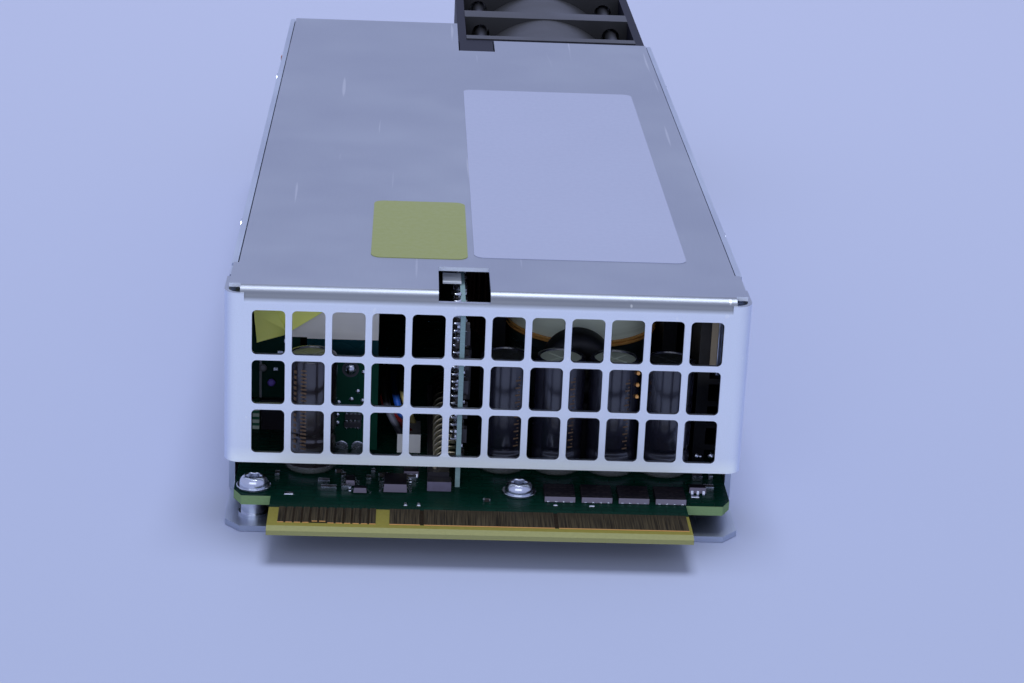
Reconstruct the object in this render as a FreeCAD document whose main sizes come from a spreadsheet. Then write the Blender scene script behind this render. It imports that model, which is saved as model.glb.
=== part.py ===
"""Hot swap server power supply: folded steel case, card edge output, two fans in line, mains inlet.

Frame: X runs across the case, Y from the card edge end to the mains end, Z up.  The origin is on the
underside of the case, half way across it, in the plane of the outer face of the perforated front.
"""
import FreeCAD, Part
import math
import os

import Sketcher
from FreeCAD import Rotation, Vector

SIZES = {
    # folded case
    "case_width": 86.0,
    "case_height": 40.0,
    "case_length": 205.0,
    "cover_sheet": 0.7,
    "chassis_sheet": 1.0,
    "wall_inset": 0.3,
    "seam": 0.25,
    "bend_radius": 2.6,
    "floor_bend": 1.6,
    "face_bottom": 9.7,
    "flange_length": 8.7,
    "flange_chamfer": 3.6,
    "corner_relief": 0.9,
    "step_length": 4.8,
    "ear_length": 6.2,
    "ear_chamfer": 2.8,
    "lip_depth": 5.0,
    "lip_setback": 10.0,
    # perforated front
    "grille_columns": 12,
    "grille_rows": 3,
    "grille_web": 1.08,
    "grille_web_up": 1.03,
    "grille_side_margin": 1.98,
    "grille_low_margin": 1.79,
    "grille_corner": 0.8,
    "grille_high_margin": 1.09,
    # key slot in the cover
    "slot_offset": 0.12,
    "slot_width": 8.45,
    "slot_length": 14.0,
    "slot_drop": 1.6,
    # printed circuit board with its card edge
    "board_bottom": 4.1,
    "board_thickness": 1.6,
    "board_gap": 0.6,
    "board_shoulder": 4.6,
    "board_rear_gap": 6.0,
    "board_chamfer": 1.4,
    "board_chamfer_run": 2.6,
    "tongue_middle": -0.65,
    "tongue_width": 68.5,
    "tongue_length": 12.8,
    "bevel_length": 1.2,
    "tip_thickness": 0.6,
    # card edge contacts
    "contact_thickness": 0.08,
    "contact_length": 6.2,
    "contact_setback": 1.2,
    "finger_count": 12,
    "finger_pitch": 1.34,
    "finger_width": 1.0,
    "finger_margin": 1.65,
    "late_finger": 4,
    "late_finger_count": 2,
    "late_setback": 0.6,
    "signal_gap": 2.21,
    "pad_gap": 0.65,
    "signal_pad_width": 4.9,
    "power_pad_width": 21.1,
    # board fixings
    "standoff_radius": 2.1,
    "standoff_base_radius": 2.5,
    "standoff_base": 0.5,
    "screw_inset": 3.2,
    "screw_y": -0.8,
    "middle_screw_gap": 6.65,
    "rear_screw_inset": 28.0,
    "washer_radius": 2.8,
    "washer_thickness": 0.5,
    "head_radius": 2.25,
    "head_height": 1.5,
    "head_top_radius": 1.7,
    "recess_radius": 1.1,
    "recess_depth": 0.9,
    "thread_radius": 1.25,
    # electrolytic capacitors
    "can_radius": 4.3,
    "can_height": 20.3,
    "can_groove": 0.35,
    "can_pitch": 9.2,
    "can_sink_gap": 0.8,
    "can_count": 4,
    "can_y": 10.7,
    "left_can_inset": 12.1,
    "left_can_y": 8.7,
    "bulk_radius": 11.0,
    "bulk_headroom": 2.6,
    "bulk_inset": 3.6,
    "bulk_count": 2,
    "bulk_rear_inset": 82.0,
    "bulk_pitch": 23.5,
    # control card standing edge on behind the front
    "card_can_gap": 3.0,
    "card_thickness": 0.8,
    "card_clearance": 0.3,
    "card_length": 46.0,
    "card_headroom": 2.1,
    "card_part_count": 5,
    "card_part_start": 1.8,
    "card_part_length": 1.6,
    "card_part_height": 2.4,
    "card_part_proud": 0.9,
    "card_part_low": 13.0,
    "card_part_pitch": 4.3,
    "controller_start": 14.0,
    "controller_low": 16.0,
    "controller_size": 9.0,
    "controller_proud": 1.6,
    "header_width": 3.6,
    "header_height": 2.5,
    "header_gap": 1.0,
    "header_front": 1.3,
    "pin_count": 16,
    "pin_pitch": 2.54,
    "pin_thickness": 0.64,
    "pin_height": 5.8,
    # fans
    "cage_side_gap": 1.65,
    "fan_depth": 28.0,
    "fan_setback": 16.0,
    "fan_rim": 1.4,
    "fan_flange": 3.6,
    "fan_hole": 2.15,
    "fan_hole_inset": 4.0,
    "fan_barrel_gap": 0.25,
    "fan_hub": 10.3,
    "fan_disc": 2.6,
    "strut_width": 2.0,
    "stator_radius": 7.4,
    "stator_length": 14.0,
    "cup_wall": 1.6,
    "cup_length": 20.6,
    "cup_gap": 0.6,
    "shaft_radius": 1.0,
    "shaft_play": 0.05,
    "blade_count": 7,
    "blade_gap": 1.8,
    "blade_thickness": 1.4,
    "blade_axial_root": 7.6,
    "blade_axial_tip": 5.6,
    "blade_sweep_root": 2.6,
    "blade_sweep_tip": 5.0,
    # moulded fan cage
    "cage_wall": 2.0,
    "cage_plate": 2.0,
    "foot_width": 8.1,
    "foot_length": 11.0,
    "foot_thickness": 3.6,
    # finger guard and fan screws
    "guard_thickness": 0.8,
    "guard_ring_width": 1.2,
    "guard_ring_count": 3,
    "guard_hub": 3.2,
    "fan_screw_radius": 1.5,
    "fan_screw_head": 2.7,
    "fan_screw_head_height": 1.8,
    # mains inlet
    "inlet_wall_gap": 0.05,
    "inlet_low": 4.3,
    "inlet_latch_gap": 2.0,
    "inlet_depth": 21.0,
    "inlet_floor": 3.0,
    "inlet_flange": 1.6,
    "inlet_lip": 1.0,
    "socket_side": 2.0,
    "socket_edge": 1.9,
    "socket_chamfer": 4.6,
    "blade_pin_width": 4.0,
    "blade_pin_thickness": 2.0,
    "blade_pin_length": 14.0,
    "blade_pin_inset": 5.2,
    "blade_pin_offset": 2.0,
    # pull handle
    "handle_gap": 0.8,
    "handle_width": 7.0,
    "handle_bottom": 4.0,
    "handle_top_inset": 7.0,
    "handle_reach": 36.0,
    "handle_bar": 6.0,
    "handle_curve": 9.0,
    "handle_foot": 3.0,
    # release latch
    "latch_pivot_inset": 39.0,
    "latch_drop": 8.8,
    "latch_height": 7.2,
    "latch_thickness": 1.8,
    "latch_wall_gap": 0.45,
    "latch_boss": 2.6,
    "latch_tab_length": 14.0,
    "latch_tab_grip": 3.0,
    "tooth_inset": 14.0,
    "tooth_length": 5.4,
    "tooth_out": 1.6,
    "window_gap": 1.2,
    "bracket_sheet": 0.9,
    "bracket_length": 8.0,
    "bracket_depth": 8.4,
    "bracket_gap": 0.3,
    "spring_thickness": 0.5,
    "spring_reach": 16.0,
    "spring_play": 0.05,
    # status lights
    "light_radius": 1.5,
    "light_pitch": 5.0,
    "light_gap": 3.55,
    "light_count": 3,
    "light_drop": 7.3,
    "light_length": 9.0,
    "light_proud": 0.5,
    # cover screws in the side walls
    "side_screw_y": 40.0,
    "side_screw_inset": 6.0,
    "side_screw_radius": 1.5,
    "side_head_radius": 2.6,
    # surface-mounted parts at the front edge
    "chip_count": 4,
    "chip_length": 6.0,
    "chip_width": 5.1,
    "chip_height": 1.0,
    "chip_screw_gap": 6.81,
    "chip_pitch": 6.13,
    "lead_length": 0.25,
    "lead_width": 0.45,
    "lead_thickness": 0.25,
    "lead_pitch": 1.27,
    # main transformer
    "core_sink_gap": 1.6,
    "core_y": 43.0,
    "bobbin_radius": 13.2,
    "core_headroom": 3.7,
    "core_plate": 4.6,
    "core_length": 22.0,
    "core_leg": 2.4,
    "core_leg_gap": 0.8,
    "loop_height": 21.5,
    "loop_wire": 0.65,
    # output choke
    "choke_offset": -2.1,
    "choke_y": 18.6,
    "choke_radius": 6.8,
    "choke_bore": 2.8,
    "choke_thickness": 6.6,
    "choke_middle": 22.4,
    "choke_seat": 13.0,
    "choke_fit": 0.05,
    # auxiliary transformer
    "aux_inset": 10.7,
    "aux_plug_gap": 3.7,
    "aux_y": 31.0,
    "aux_length": 16.0,
    "aux_coil_top": 23.4,
    "aux_headroom": 3.3,
    # small upright boards
    "upright_inset": 9.7,
    "upright_plug_gap": 3.5,
    "upright_y": 16.5,
    "upright_thickness": 1.2,
    "upright_top": 22.6,
    "rear_upright_inset": 0.8,
    "rear_upright_width": 8.6,
    "rear_upright_setback": 1.5,
    "rear_upright_top": 28.0,
    "relay_inset": 2.8,
    "relay_width": 7.0,
    "relay_y": 24.5,
    "relay_length": 15.0,
    "relay_height": 5.5,
    "side_socket_width": 1.2,
    "side_socket_length": 9.0,
    "side_socket_height": 4.4,
    # output heat sink
    "sink_wall_gap": 0.5,
    "sink_thickness": 2.0,
    "sink_front": 12.0,
    "sink_length": 76.0,
    "fin_length": 3.0,
    "fin_thickness": 1.0,
    "fin_rise": 3.35,
    "fin_count": 7,
    "transistor_width": 10.2,
    "transistor_thickness": 4.6,
    "transistor_height": 15.0,
    "transistor_pitch": 14.0,
    "transistor_count": 2,
    "transistor_margin": 2.0,
    # mains side
    "boost_sink_gap": 2.1,
    "boost_gap": 15.0,
    "boost_radius": 15.0,
    "boost_bore": 6.0,
    "boost_height": 15.0,
    "filter_inset": 6.1,
    "filter_rear_inset": 32.0,
    "filter_width": 22.0,
    "filter_length": 14.0,
    "filter_height": 19.0,
    "x_capacitor_width": 26.0,
    "x_capacitor_length": 10.0,
    "x_capacitor_height": 15.0,
    "x_capacitor_inset": 6.1,
    "x_capacitor_rear_inset": 15.0,
    "fuse_radius": 2.6,
    "fuse_length": 20.0,
    "fuse_inset": 31.1,
    "fuse_rear_inset": 18.0,
    "rectifier_width": 22.0,
    "rectifier_thickness": 4.6,
    "rectifier_height": 20.0,
    "primary_sink_x": 0.0,
    "primary_sink_rear_inset": 33.0,
    "primary_sink_height": 26.0,
    # wiring
    "wire_radius": 0.6,
    "plug_gap": 1.2,
    "plug_y": 15.5,
    "plug_width": 4.0,
    "plug_length": 6.5,
    "plug_height": 3.4,
}


class Size:
    """A length that knows both its number and the sheet formula it comes from."""

    def __init__(self, number, formula):
        self.number = number
        self.formula = formula

    def __add__(self, other):
        other = as_size(other)
        return Size(self.number + other.number, f"({self.formula} + {other.formula})")

    def __sub__(self, other):
        other = as_size(other)
        return Size(self.number - other.number, f"({self.formula} - {other.formula})")

    def __mul__(self, other):
        other = as_size(other)
        return Size(self.number * other.number, f"{self.formula} * {other.formula}")

    def __truediv__(self, other):
        other = as_size(other)
        return Size(self.number / other.number, f"{self.formula} / {other.formula}")

    def __radd__(self, other):
        return as_size(other) + self

    def __rsub__(self, other):
        return as_size(other) - self

    def __rmul__(self, other):
        return as_size(other) * self

    def __neg__(self):
        return Size(-self.number, f"(0 - {self.formula})")


def as_size(value):
    return value if isinstance(value, Size) else Size(float(value), f"({float(value):.6g})")


doc = FreeCAD.newDocument("power_supply")


class Dimensions:
    """The driving dimensions, each one a cell of the sheet with its name as alias."""

    def __init__(self, table):
        sheet = doc.addObject("Spreadsheet::Sheet", "Sizes")
        for row, (name, number) in enumerate(table.items(), start=1):
            sheet.set(f"A{row}", name)
            sheet.set(f"B{row}", str(number))
            sheet.setAlias(f"B{row}", name)
            setattr(self, name, Size(float(number), f"Sizes.{name}"))


d = Dimensions(SIZES)
doc.recompute()

NODES = {}


def tie(thing, **sizes):
    """Bind properties to the sheet; a double underscore stands for a dot."""
    for path, size in sizes.items():
        thing.setExpression(path.replace("__", "."), as_size(size).formula)


def keep(label, shape):
    """Give a finished sub-part its name; it becomes one exported piece."""
    shape.Label = label
    NODES[label] = shape
    return shape


# Part primitives and booleans


def box(name, x, y, z):
    """Block between two values on each axis."""
    block = doc.addObject("Part::Box", name)
    tie(block, Length=as_size(x[1]) - x[0], Width=as_size(y[1]) - y[0], Height=as_size(z[1]) - z[0])
    tie(block, Placement__Base__x=x[0], Placement__Base__y=y[0], Placement__Base__z=z[0])
    return block


TURNS = {"X": Rotation(Vector(0, 1, 0), 90), "Y": Rotation(Vector(1, 0, 0), -90), "Z": Rotation()}


def place(thing, at, axis="Z"):
    thing.Placement.Rotation = TURNS[axis]
    tie(thing, Placement__Base__x=at[0], Placement__Base__y=at[1], Placement__Base__z=at[2])
    return thing


def rod(name, axis, at, radius, length):
    """Cylinder that starts at a point and runs along +X, +Y or +Z."""
    cylinder = doc.addObject("Part::Cylinder", name)
    tie(cylinder, Radius=radius, Height=length)
    return place(cylinder, at, axis)


def ring(name, axis, at, radius, wire):
    torus = doc.addObject("Part::Torus", name)
    tie(torus, Radius1=radius, Radius2=wire)
    return place(torus, at, axis)


def cut(name, base, *tools):
    result = doc.addObject("Part::Cut", name)
    result.Base = base
    result.Tool = tools[0] if len(tools) == 1 else join(f"{name}_tools", *tools)
    return result


def join(name, *pieces):
    result = doc.addObject("Part::MultiFuse", name)
    result.Shapes = list(pieces)
    return result


def group(name, *pieces):
    """Separate solids that share one node."""
    result = doc.addObject("Part::Compound", name)
    result.Links = list(pieces)
    return result


# PartDesign bodies


def body(name):
    return doc.addObject("PartDesign::Body", name)


def origin_part(owner, role):
    return next(part for part in owner.Origin.OriginFeatures if part.Role == role)


def new_sketch(owner, name, plane, offset=0.0):
    """Empty sketch on one of the body's own planes, moved along the plane's normal."""
    sketch = owner.newObject("Sketcher::SketchObject", name)
    sketch.AttachmentSupport = (origin_part(owner, f"{plane}_Plane"), [""])
    sketch.MapMode = "FlatFace"
    tie(sketch, AttachmentOffset__Base__z=offset)
    return sketch


def pin_point(sketch, line, point, x, y):
    """Hold one point of a line at a place measured from the sketch's origin."""
    for kind, size in (("DistanceX", as_size(x)), ("DistanceY", as_size(y))):
        index = sketch.addConstraint(Sketcher.Constraint(kind, -1, 1, line, point, size.number))
        sketch.setExpression(f"Constraints[{index}]", size.formula)


def draw(sketch, corners, radii=None):
    """Closed outline.  Corners of a square outline can have a radius each."""
    count = len(corners)
    radii = radii or [None] * count
    points = [(as_size(x), as_size(y)) for x, y in corners]

    def near(index, toward):
        """The tangent point by a corner, on the side that faces its neighbour."""
        x, y = points[index]
        radius = radii[index]
        if radius is None:
            return x, y
        other_x, other_y = points[toward % count]
        step_x = other_x.number - x.number
        step_y = other_y.number - y.number
        if abs(step_x) > abs(step_y):
            return x + math.copysign(1.0, step_x) * as_size(radius), y
        return x, y + math.copysign(1.0, step_y) * as_size(radius)

    lines = []
    for index in range(count):
        start = near(index, index + 1)
        end = near((index + 1) % count, index)
        ends = [Vector(p[0].number, p[1].number, 0) for p in (start, end)]
        line = sketch.addGeometry(Part.LineSegment(*ends), False)
        pin_point(sketch, line, 1, *start)
        pin_point(sketch, line, 2, *end)
        lines.append(line)
    for index in range(count):
        if radii[index] is None:
            continue
        before = near(index, index - 1)
        after = near(index, index + 1)
        x, y = points[index]
        start = Vector(before[0].number, before[1].number, 0)
        end = Vector(after[0].number, after[1].number, 0)
        corner = Vector(x.number, y.number, 0)
        centre = start + end - corner
        middle = centre + (corner - centre).normalize() * as_size(radii[index]).number
        arc = sketch.addGeometry(Part.Arc(start, middle, end), False)
        clockwise = (start - centre).cross(end - centre).z < 0
        first, last = (2, 1) if clockwise else (1, 2)
        sketch.addConstraint(Sketcher.Constraint("Coincident", arc, first, lines[index - 1], 2))
        sketch.addConstraint(Sketcher.Constraint("Coincident", arc, last, lines[index], 1))
        size = as_size(radii[index])
        held = sketch.addConstraint(Sketcher.Constraint("Radius", arc, size.number))
        sketch.setExpression(f"Constraints[{held}]", size.formula)


def rectangle(sketch, x, y, radius=None):
    corners = [(x[0], y[0]), (x[1], y[0]), (x[1], y[1]), (x[0], y[1])]
    draw(sketch, corners, [radius] * 4 if radius is not None else None)


def circle(sketch, x, y, radius):
    x, y, radius = as_size(x), as_size(y), as_size(radius)
    centre = Vector(x.number, y.number, 0)
    loop = sketch.addGeometry(Part.Circle(centre, Vector(0, 0, 1), radius.number), False)
    pin_point(sketch, loop, 3, x, y)
    held = sketch.addConstraint(Sketcher.Constraint("Radius", loop, radius.number))
    sketch.setExpression(f"Constraints[{held}]", radius.formula)


def pad(owner, sketch, length, backwards=False):
    feature = owner.newObject("PartDesign::Pad", f"{sketch.Name}_pad")
    feature.Profile = sketch
    feature.Reversed = backwards
    tie(feature, Length=length)
    return feature


def pocket(owner, sketch, length, backwards=False):
    feature = owner.newObject("PartDesign::Pocket", f"{sketch.Name}_pocket")
    feature.Profile = sketch
    feature.Reversed = backwards
    tie(feature, Length=length)
    return feature


def repeat(owner, feature, axis, count, pitch):
    """Linear pattern of one feature along an axis of the body."""
    pattern = owner.newObject("PartDesign::LinearPattern", f"{feature.Name}_row")
    pattern.Originals = [feature]
    pattern.Direction = (origin_part(owner, f"{axis}_Axis"), [""])
    tie(pattern, Length=(count - 1) * pitch, Occurrences=count)
    owner.Tip = pattern
    return pattern


# Planes that several pieces share

FACE_HALF = d.case_width / 2
WALL_OUT = FACE_HALF - d.wall_inset
WALL_IN = WALL_OUT - d.chassis_sheet
TOP_HALF = WALL_IN - d.seam
FRONT_TOP_HALF = FACE_HALF - d.cover_sheet
PLATE_UNDER = d.case_height - d.cover_sheet
WALL_TOP = d.case_height - d.seam
WALL_START = d.flange_length + d.wall_inset
STEP_END = WALL_START + d.step_length
BOARD_TOP = d.board_bottom + d.board_thickness
BOARD_HALF = WALL_IN - d.board_gap
BOARD_REAR = d.case_length - d.inlet_depth - d.board_rear_gap
SCREW_X = BOARD_HALF - d.screw_inset
# the fans are as tall as the case
FAN_SIZE = d.case_height
FAN_X = FACE_HALF - d.cage_side_gap - d.cage_wall - FAN_SIZE / 2
FAN_BORE = FAN_SIZE / 2 - d.fan_rim
FAN_HOLE = FAN_SIZE / 2 - d.fan_hole_inset
FAN_FRONT = d.case_length - d.fan_setback
CAGE_FRONT = FAN_FRONT - d.cage_plate
FAN_LEFT = FAN_X - FAN_SIZE / 2
FAN_RIGHT = FAN_X + FAN_SIZE / 2
FAN_MIDDLE = d.case_height / 2
CAGE_LEFT = FAN_LEFT - d.cage_wall
CAGE_RIGHT = FAN_RIGHT + d.cage_wall
RETURN_WALL = (CAGE_LEFT - d.chassis_sheet, CAGE_LEFT)
REAR_PANEL = (d.case_length - d.chassis_sheet, d.case_length)
FAN_END = FAN_FRONT + 2 * d.fan_depth
CAGE_LOW = d.seam
CAGE_HIGH = d.case_height - d.seam
HANDLE_LEFT = CAGE_LEFT - d.handle_gap - d.handle_width
LATCH_MIDDLE = PLATE_UNDER - d.latch_drop
LATCH_LOW = LATCH_MIDDLE - d.latch_height / 2
LATCH_HIGH = LATCH_MIDDLE + d.latch_height / 2
LATCH_PIVOT_Y = d.case_length - d.latch_pivot_inset
TOOTH_Y = d.case_length - d.tooth_inset
INLET_SIDES = (-WALL_IN + d.inlet_wall_gap + d.inlet_lip, HANDLE_LEFT - d.handle_gap - d.inlet_lip)
INLET_ENDS = (d.inlet_low, LATCH_LOW - d.inlet_latch_gap)
LIGHT_X = HANDLE_LEFT - d.light_gap - (d.light_count - 1) * d.light_pitch
LIGHT_Z = PLATE_UNDER - d.light_drop
SIDE_SCREW_Z = PLATE_UNDER - d.lip_depth / 2
SIDE_SCREWS_Y = (d.side_screw_y, LATCH_PIVOT_Y - d.lip_setback - d.side_screw_inset)
SINK_TOP = PLATE_UNDER - d.lip_depth - d.seam
SINK_X = WALL_IN - d.sink_wall_gap - d.fin_length - d.sink_thickness
CORE_X = SINK_X - d.core_sink_gap - d.core_leg - d.core_leg_gap - d.bobbin_radius
CORE_REAR = d.core_y + d.core_length / 2
BOOST_X = SINK_X - d.transistor_thickness - d.boost_sink_gap - d.boost_radius
BOOST_Y = CORE_REAR + d.boost_gap + d.boost_radius
CAN_FIRST_X = SINK_X - d.can_sink_gap - d.can_radius - (d.can_count - 1) * d.can_pitch
CHIP_FIRST_X = SCREW_X - d.chip_screw_gap - (d.chip_count - 1) * d.chip_pitch
CARD_X = CAN_FIRST_X - d.can_radius - d.card_can_gap - d.card_thickness / 2
CARD_SIDES = (CARD_X - d.card_thickness / 2, CARD_X + d.card_thickness / 2)
HEADER_SIDES = (CARD_SIDES[0] - d.header_gap - d.header_width, CARD_SIDES[0] - d.header_gap)
PLUG_SIDES = (HEADER_SIDES[0] - d.plug_gap - d.plug_width, HEADER_SIDES[0] - d.plug_gap)
SLOT_MIDDLE = CARD_X + d.slot_offset
SCREW_PLACES = [(-SCREW_X, d.screw_y), (CHIP_FIRST_X - d.middle_screw_gap, d.screw_y),
                (-SCREW_X, BOARD_REAR - d.rear_screw_inset), (SCREW_X, BOARD_REAR - d.rear_screw_inset)]


def chassis():
    """Folded pan: floor with two front ears, side walls, rear panel and the wall beside the fans."""
    pan = body("chassis")
    trough = new_sketch(pan, "trough", "XZ", -WALL_START)
    bend, sheet = d.floor_bend, d.chassis_sheet
    outer = [(-WALL_OUT, WALL_TOP), (-WALL_OUT, 0), (WALL_OUT, 0), (WALL_OUT, WALL_TOP)]
    inner = [(WALL_IN, WALL_TOP), (WALL_IN, sheet), (-WALL_IN, sheet), (-WALL_IN, WALL_TOP)]
    draw(trough, outer + inner, [None, bend, bend, None, None, bend - sheet, bend - sheet, None])
    pad(pan, trough, d.case_length - WALL_START, backwards=True)

    ears = new_sketch(pan, "ears", "XY")
    front, slope = -d.ear_length, d.ear_chamfer
    inset = WALL_OUT - slope
    draw(ears, [(-WALL_OUT + d.seam, WALL_START + sheet), (-WALL_OUT + d.seam, front + slope),
                (-inset, front), (inset, front), (WALL_OUT - d.seam, front + slope),
                (WALL_OUT - d.seam, WALL_START + sheet)])
    pad(pan, ears, sheet)

    return_wall = new_sketch(pan, "return_wall", "XY")
    rectangle(return_wall, RETURN_WALL, (CAGE_FRONT, d.case_length))
    pad(pan, return_wall, PLATE_UNDER)

    panel = new_sketch(pan, "rear_panel", "XZ", -REAR_PANEL[0])
    rectangle(panel, (-WALL_OUT + d.seam, CAGE_LEFT), (0, PLATE_UNDER))
    pad(pan, panel, sheet, backwards=True)

    bay = new_sketch(pan, "fan_bay", "XY", d.case_height)
    rectangle(bay, (CAGE_LEFT, FACE_HALF + sheet), (CAGE_FRONT, d.case_length + sheet))
    pocket(pan, bay, d.case_height + sheet)

    steps = new_sketch(pan, "cover_steps", "XZ", -WALL_START + sheet)
    for side in (-1, 1):
        rectangle(steps, tuple(sorted((side * (WALL_IN - sheet), side * (WALL_OUT + sheet)),
                                      key=lambda size: size.number)), (PLATE_UNDER, d.case_height))
    pocket(pan, steps, d.step_length + sheet)

    openings = new_sketch(pan, "rear_openings", "XZ", -REAR_PANEL[0] + sheet)
    rectangle(openings, INLET_SIDES, INLET_ENDS)
    rectangle(openings, (-WALL_IN, -WALL_IN + d.latch_wall_gap + d.latch_thickness + d.latch_tab_grip * 2),
              (LATCH_LOW - d.bracket_gap, LATCH_HIGH + d.bracket_gap))
    for index in range(int(d.light_count.number)):
        circle(openings, LIGHT_X + index * d.light_pitch, LIGHT_Z, d.light_radius)
    pocket(pan, openings, 3 * sheet)

    window = new_sketch(pan, "tooth_window", "YZ", -WALL_IN + sheet)
    rectangle(window, (TOOTH_Y - d.tooth_length - d.window_gap, TOOTH_Y + d.window_gap),
              (LATCH_LOW - d.bracket_gap, LATCH_HIGH + d.bracket_gap))
    pocket(pan, window, 3 * sheet)

    holes = new_sketch(pan, "side_screw_holes", "YZ", FACE_HALF + sheet)
    for y in SIDE_SCREWS_Y:
        circle(holes, y, SIDE_SCREW_Z, d.side_screw_radius)
    pocket(pan, holes, d.case_width + 2 * sheet)
    keep("chassis", pan)


def top_cover():
    """Cover with the perforated front: one sheet bent down at the front and back at both sides."""
    lid = body("top_cover")
    bend, sheet = d.bend_radius, d.cover_sheet
    straight = FACE_HALF - bend
    rise = d.case_height

    front = new_sketch(lid, "front_and_top", "YZ", -straight)
    back = WALL_START
    draw(front, [(0, d.face_bottom), (0, rise), (back, rise), (back, rise - sheet),
                 (sheet, rise - sheet), (sheet, d.face_bottom)],
         [None, bend, None, None, bend - sheet, None])
    pad(lid, front, 2 * straight)

    for side, name in ((-1, "left_flange"), (1, "right_flange")):
        flange = new_sketch(lid, name, "XY", d.face_bottom)
        outer, inner = side * FACE_HALF, side * FRONT_TOP_HALF
        seam = side * (straight - sheet)
        draw(flange, [(seam, 0), (outer, 0), (outer, d.flange_length),
                      (inner, d.flange_length), (inner, sheet), (seam, sheet)],
             [None, bend, None, None, bend - sheet, None])
        pad(lid, flange, d.case_height - d.corner_relief - d.face_bottom)

    plate = new_sketch(lid, "plate", "XY", PLATE_UNDER)
    notch_right = CAGE_LEFT + d.foot_width + d.seam
    foot_front = CAGE_FRONT - d.foot_length - d.seam
    draw(plate, [(-FRONT_TOP_HALF, bend), (FRONT_TOP_HALF, bend), (FRONT_TOP_HALF, STEP_END - d.seam),
                 (TOP_HALF, STEP_END - d.seam), (TOP_HALF, CAGE_FRONT), (notch_right, CAGE_FRONT),
                 (notch_right, foot_front), (CAGE_LEFT, foot_front), (CAGE_LEFT, d.case_length),
                 (-TOP_HALF, d.case_length), (-TOP_HALF, STEP_END - d.seam),
                 (-FRONT_TOP_HALF, STEP_END - d.seam)])
    pad(lid, plate, sheet)

    for side, name in ((-1, "left_lip"), (1, "right_lip")):
        lip = new_sketch(lid, name, "XY", PLATE_UNDER - d.lip_depth)
        edges = (-TOP_HALF, -TOP_HALF + sheet) if side < 0 else (TOP_HALF - sheet, TOP_HALF)
        rectangle(lip, edges, (STEP_END + d.lip_setback, LATCH_PIVOT_Y - d.lip_setback))
        pad(lid, lip, d.lip_depth)

    slot_lip = new_sketch(lid, "slot_lip", "XZ", -d.slot_length)
    slot_edges = (SLOT_MIDDLE - d.slot_width / 2, SLOT_MIDDLE + d.slot_width / 2)
    rectangle(slot_lip, (slot_edges[0] + sheet, slot_edges[1] - sheet), (PLATE_UNDER - sheet / 2, rise - sheet / 2))
    pad(lid, slot_lip, sheet / 2)

    slot = new_sketch(lid, "key_slot", "XY", rise + sheet)
    rectangle(slot, slot_edges, (-sheet, d.slot_length))
    pocket(lid, slot, d.slot_drop + sheet)

    slopes = new_sketch(lid, "flange_slopes", "YZ", FACE_HALF + sheet)
    low, high = d.face_bottom - sheet, d.face_bottom + d.flange_chamfer
    draw(slopes, [(bend, d.face_bottom), (bend + d.flange_chamfer, high), (WALL_START, high),
                  (WALL_START, low), (bend, low)])
    pocket(lid, slopes, d.case_width + 2 * sheet)

    holes = new_sketch(lid, "lip_holes", "YZ", FACE_HALF + sheet)
    for y in SIDE_SCREWS_Y:
        circle(holes, y, SIDE_SCREW_Z, d.side_screw_radius)
    pocket(lid, holes, d.case_width + 2 * sheet)

    # the holes fill the flat of the front, between margins, with a web from hole to hole
    column = new_sketch(lid, "grille_column", "XZ", sheet)
    side = d.grille_side_margin - straight
    low = d.face_bottom + d.grille_low_margin
    across = (d.grille_web - 2 * side) / d.grille_columns
    up = (rise - bend - d.grille_high_margin + d.grille_web_up - low) / d.grille_rows
    for row in range(int(d.grille_rows.number)):
        rectangle(column, (side, side + across - d.grille_web),
                  (low + row * up, low + (row + 1) * up - d.grille_web_up), d.grille_corner)
    holes = pocket(lid, column, 3 * sheet)
    doc.recompute()
    repeat(lid, holes, "X", d.grille_columns, across)
    keep("top_cover", lid)


def main_board():
    """Circuit board with shoulders, chamfered corners and a bevelled card edge tongue."""
    board = body("main_board")
    outline = new_sketch(board, "outline", "XY", d.board_bottom)
    half, tip = BOARD_HALF, -d.board_shoulder - d.tongue_length
    left, right = d.tongue_middle - d.tongue_width / 2, d.tongue_middle + d.tongue_width / 2
    slope = -d.board_shoulder + d.board_chamfer_run
    draw(outline, [(-half, BOARD_REAR), (-half, slope), (-half + d.board_chamfer, -d.board_shoulder),
                   (left, -d.board_shoulder), (left, tip), (right, tip), (right, -d.board_shoulder),
                   (half - d.board_chamfer, -d.board_shoulder), (half, slope), (half, BOARD_REAR)])
    pad(board, outline, d.board_thickness)
    bevel = new_sketch(board, "bevel", "YZ", left - d.seam)
    step = (d.board_thickness - d.tip_thickness) / 2
    edge = tip - d.seam
    for face, lean in ((BOARD_TOP, -1), (d.board_bottom, 1)):
        draw(bevel, [(tip + d.bevel_length, face), (edge, face + lean * step), (edge, face - lean * d.seam),
                     (tip + d.bevel_length, face - lean * d.seam)])
    pocket(board, bevel, d.tongue_width + 2 * d.seam, backwards=True)
    holes = new_sketch(board, "screw_holes", "XY", BOARD_TOP)
    for x, y in SCREW_PLACES:
        circle(holes, x, y, d.thread_radius + d.shaft_play)
    pocket(board, holes, d.board_thickness)
    keep("main_board", board)


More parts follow.
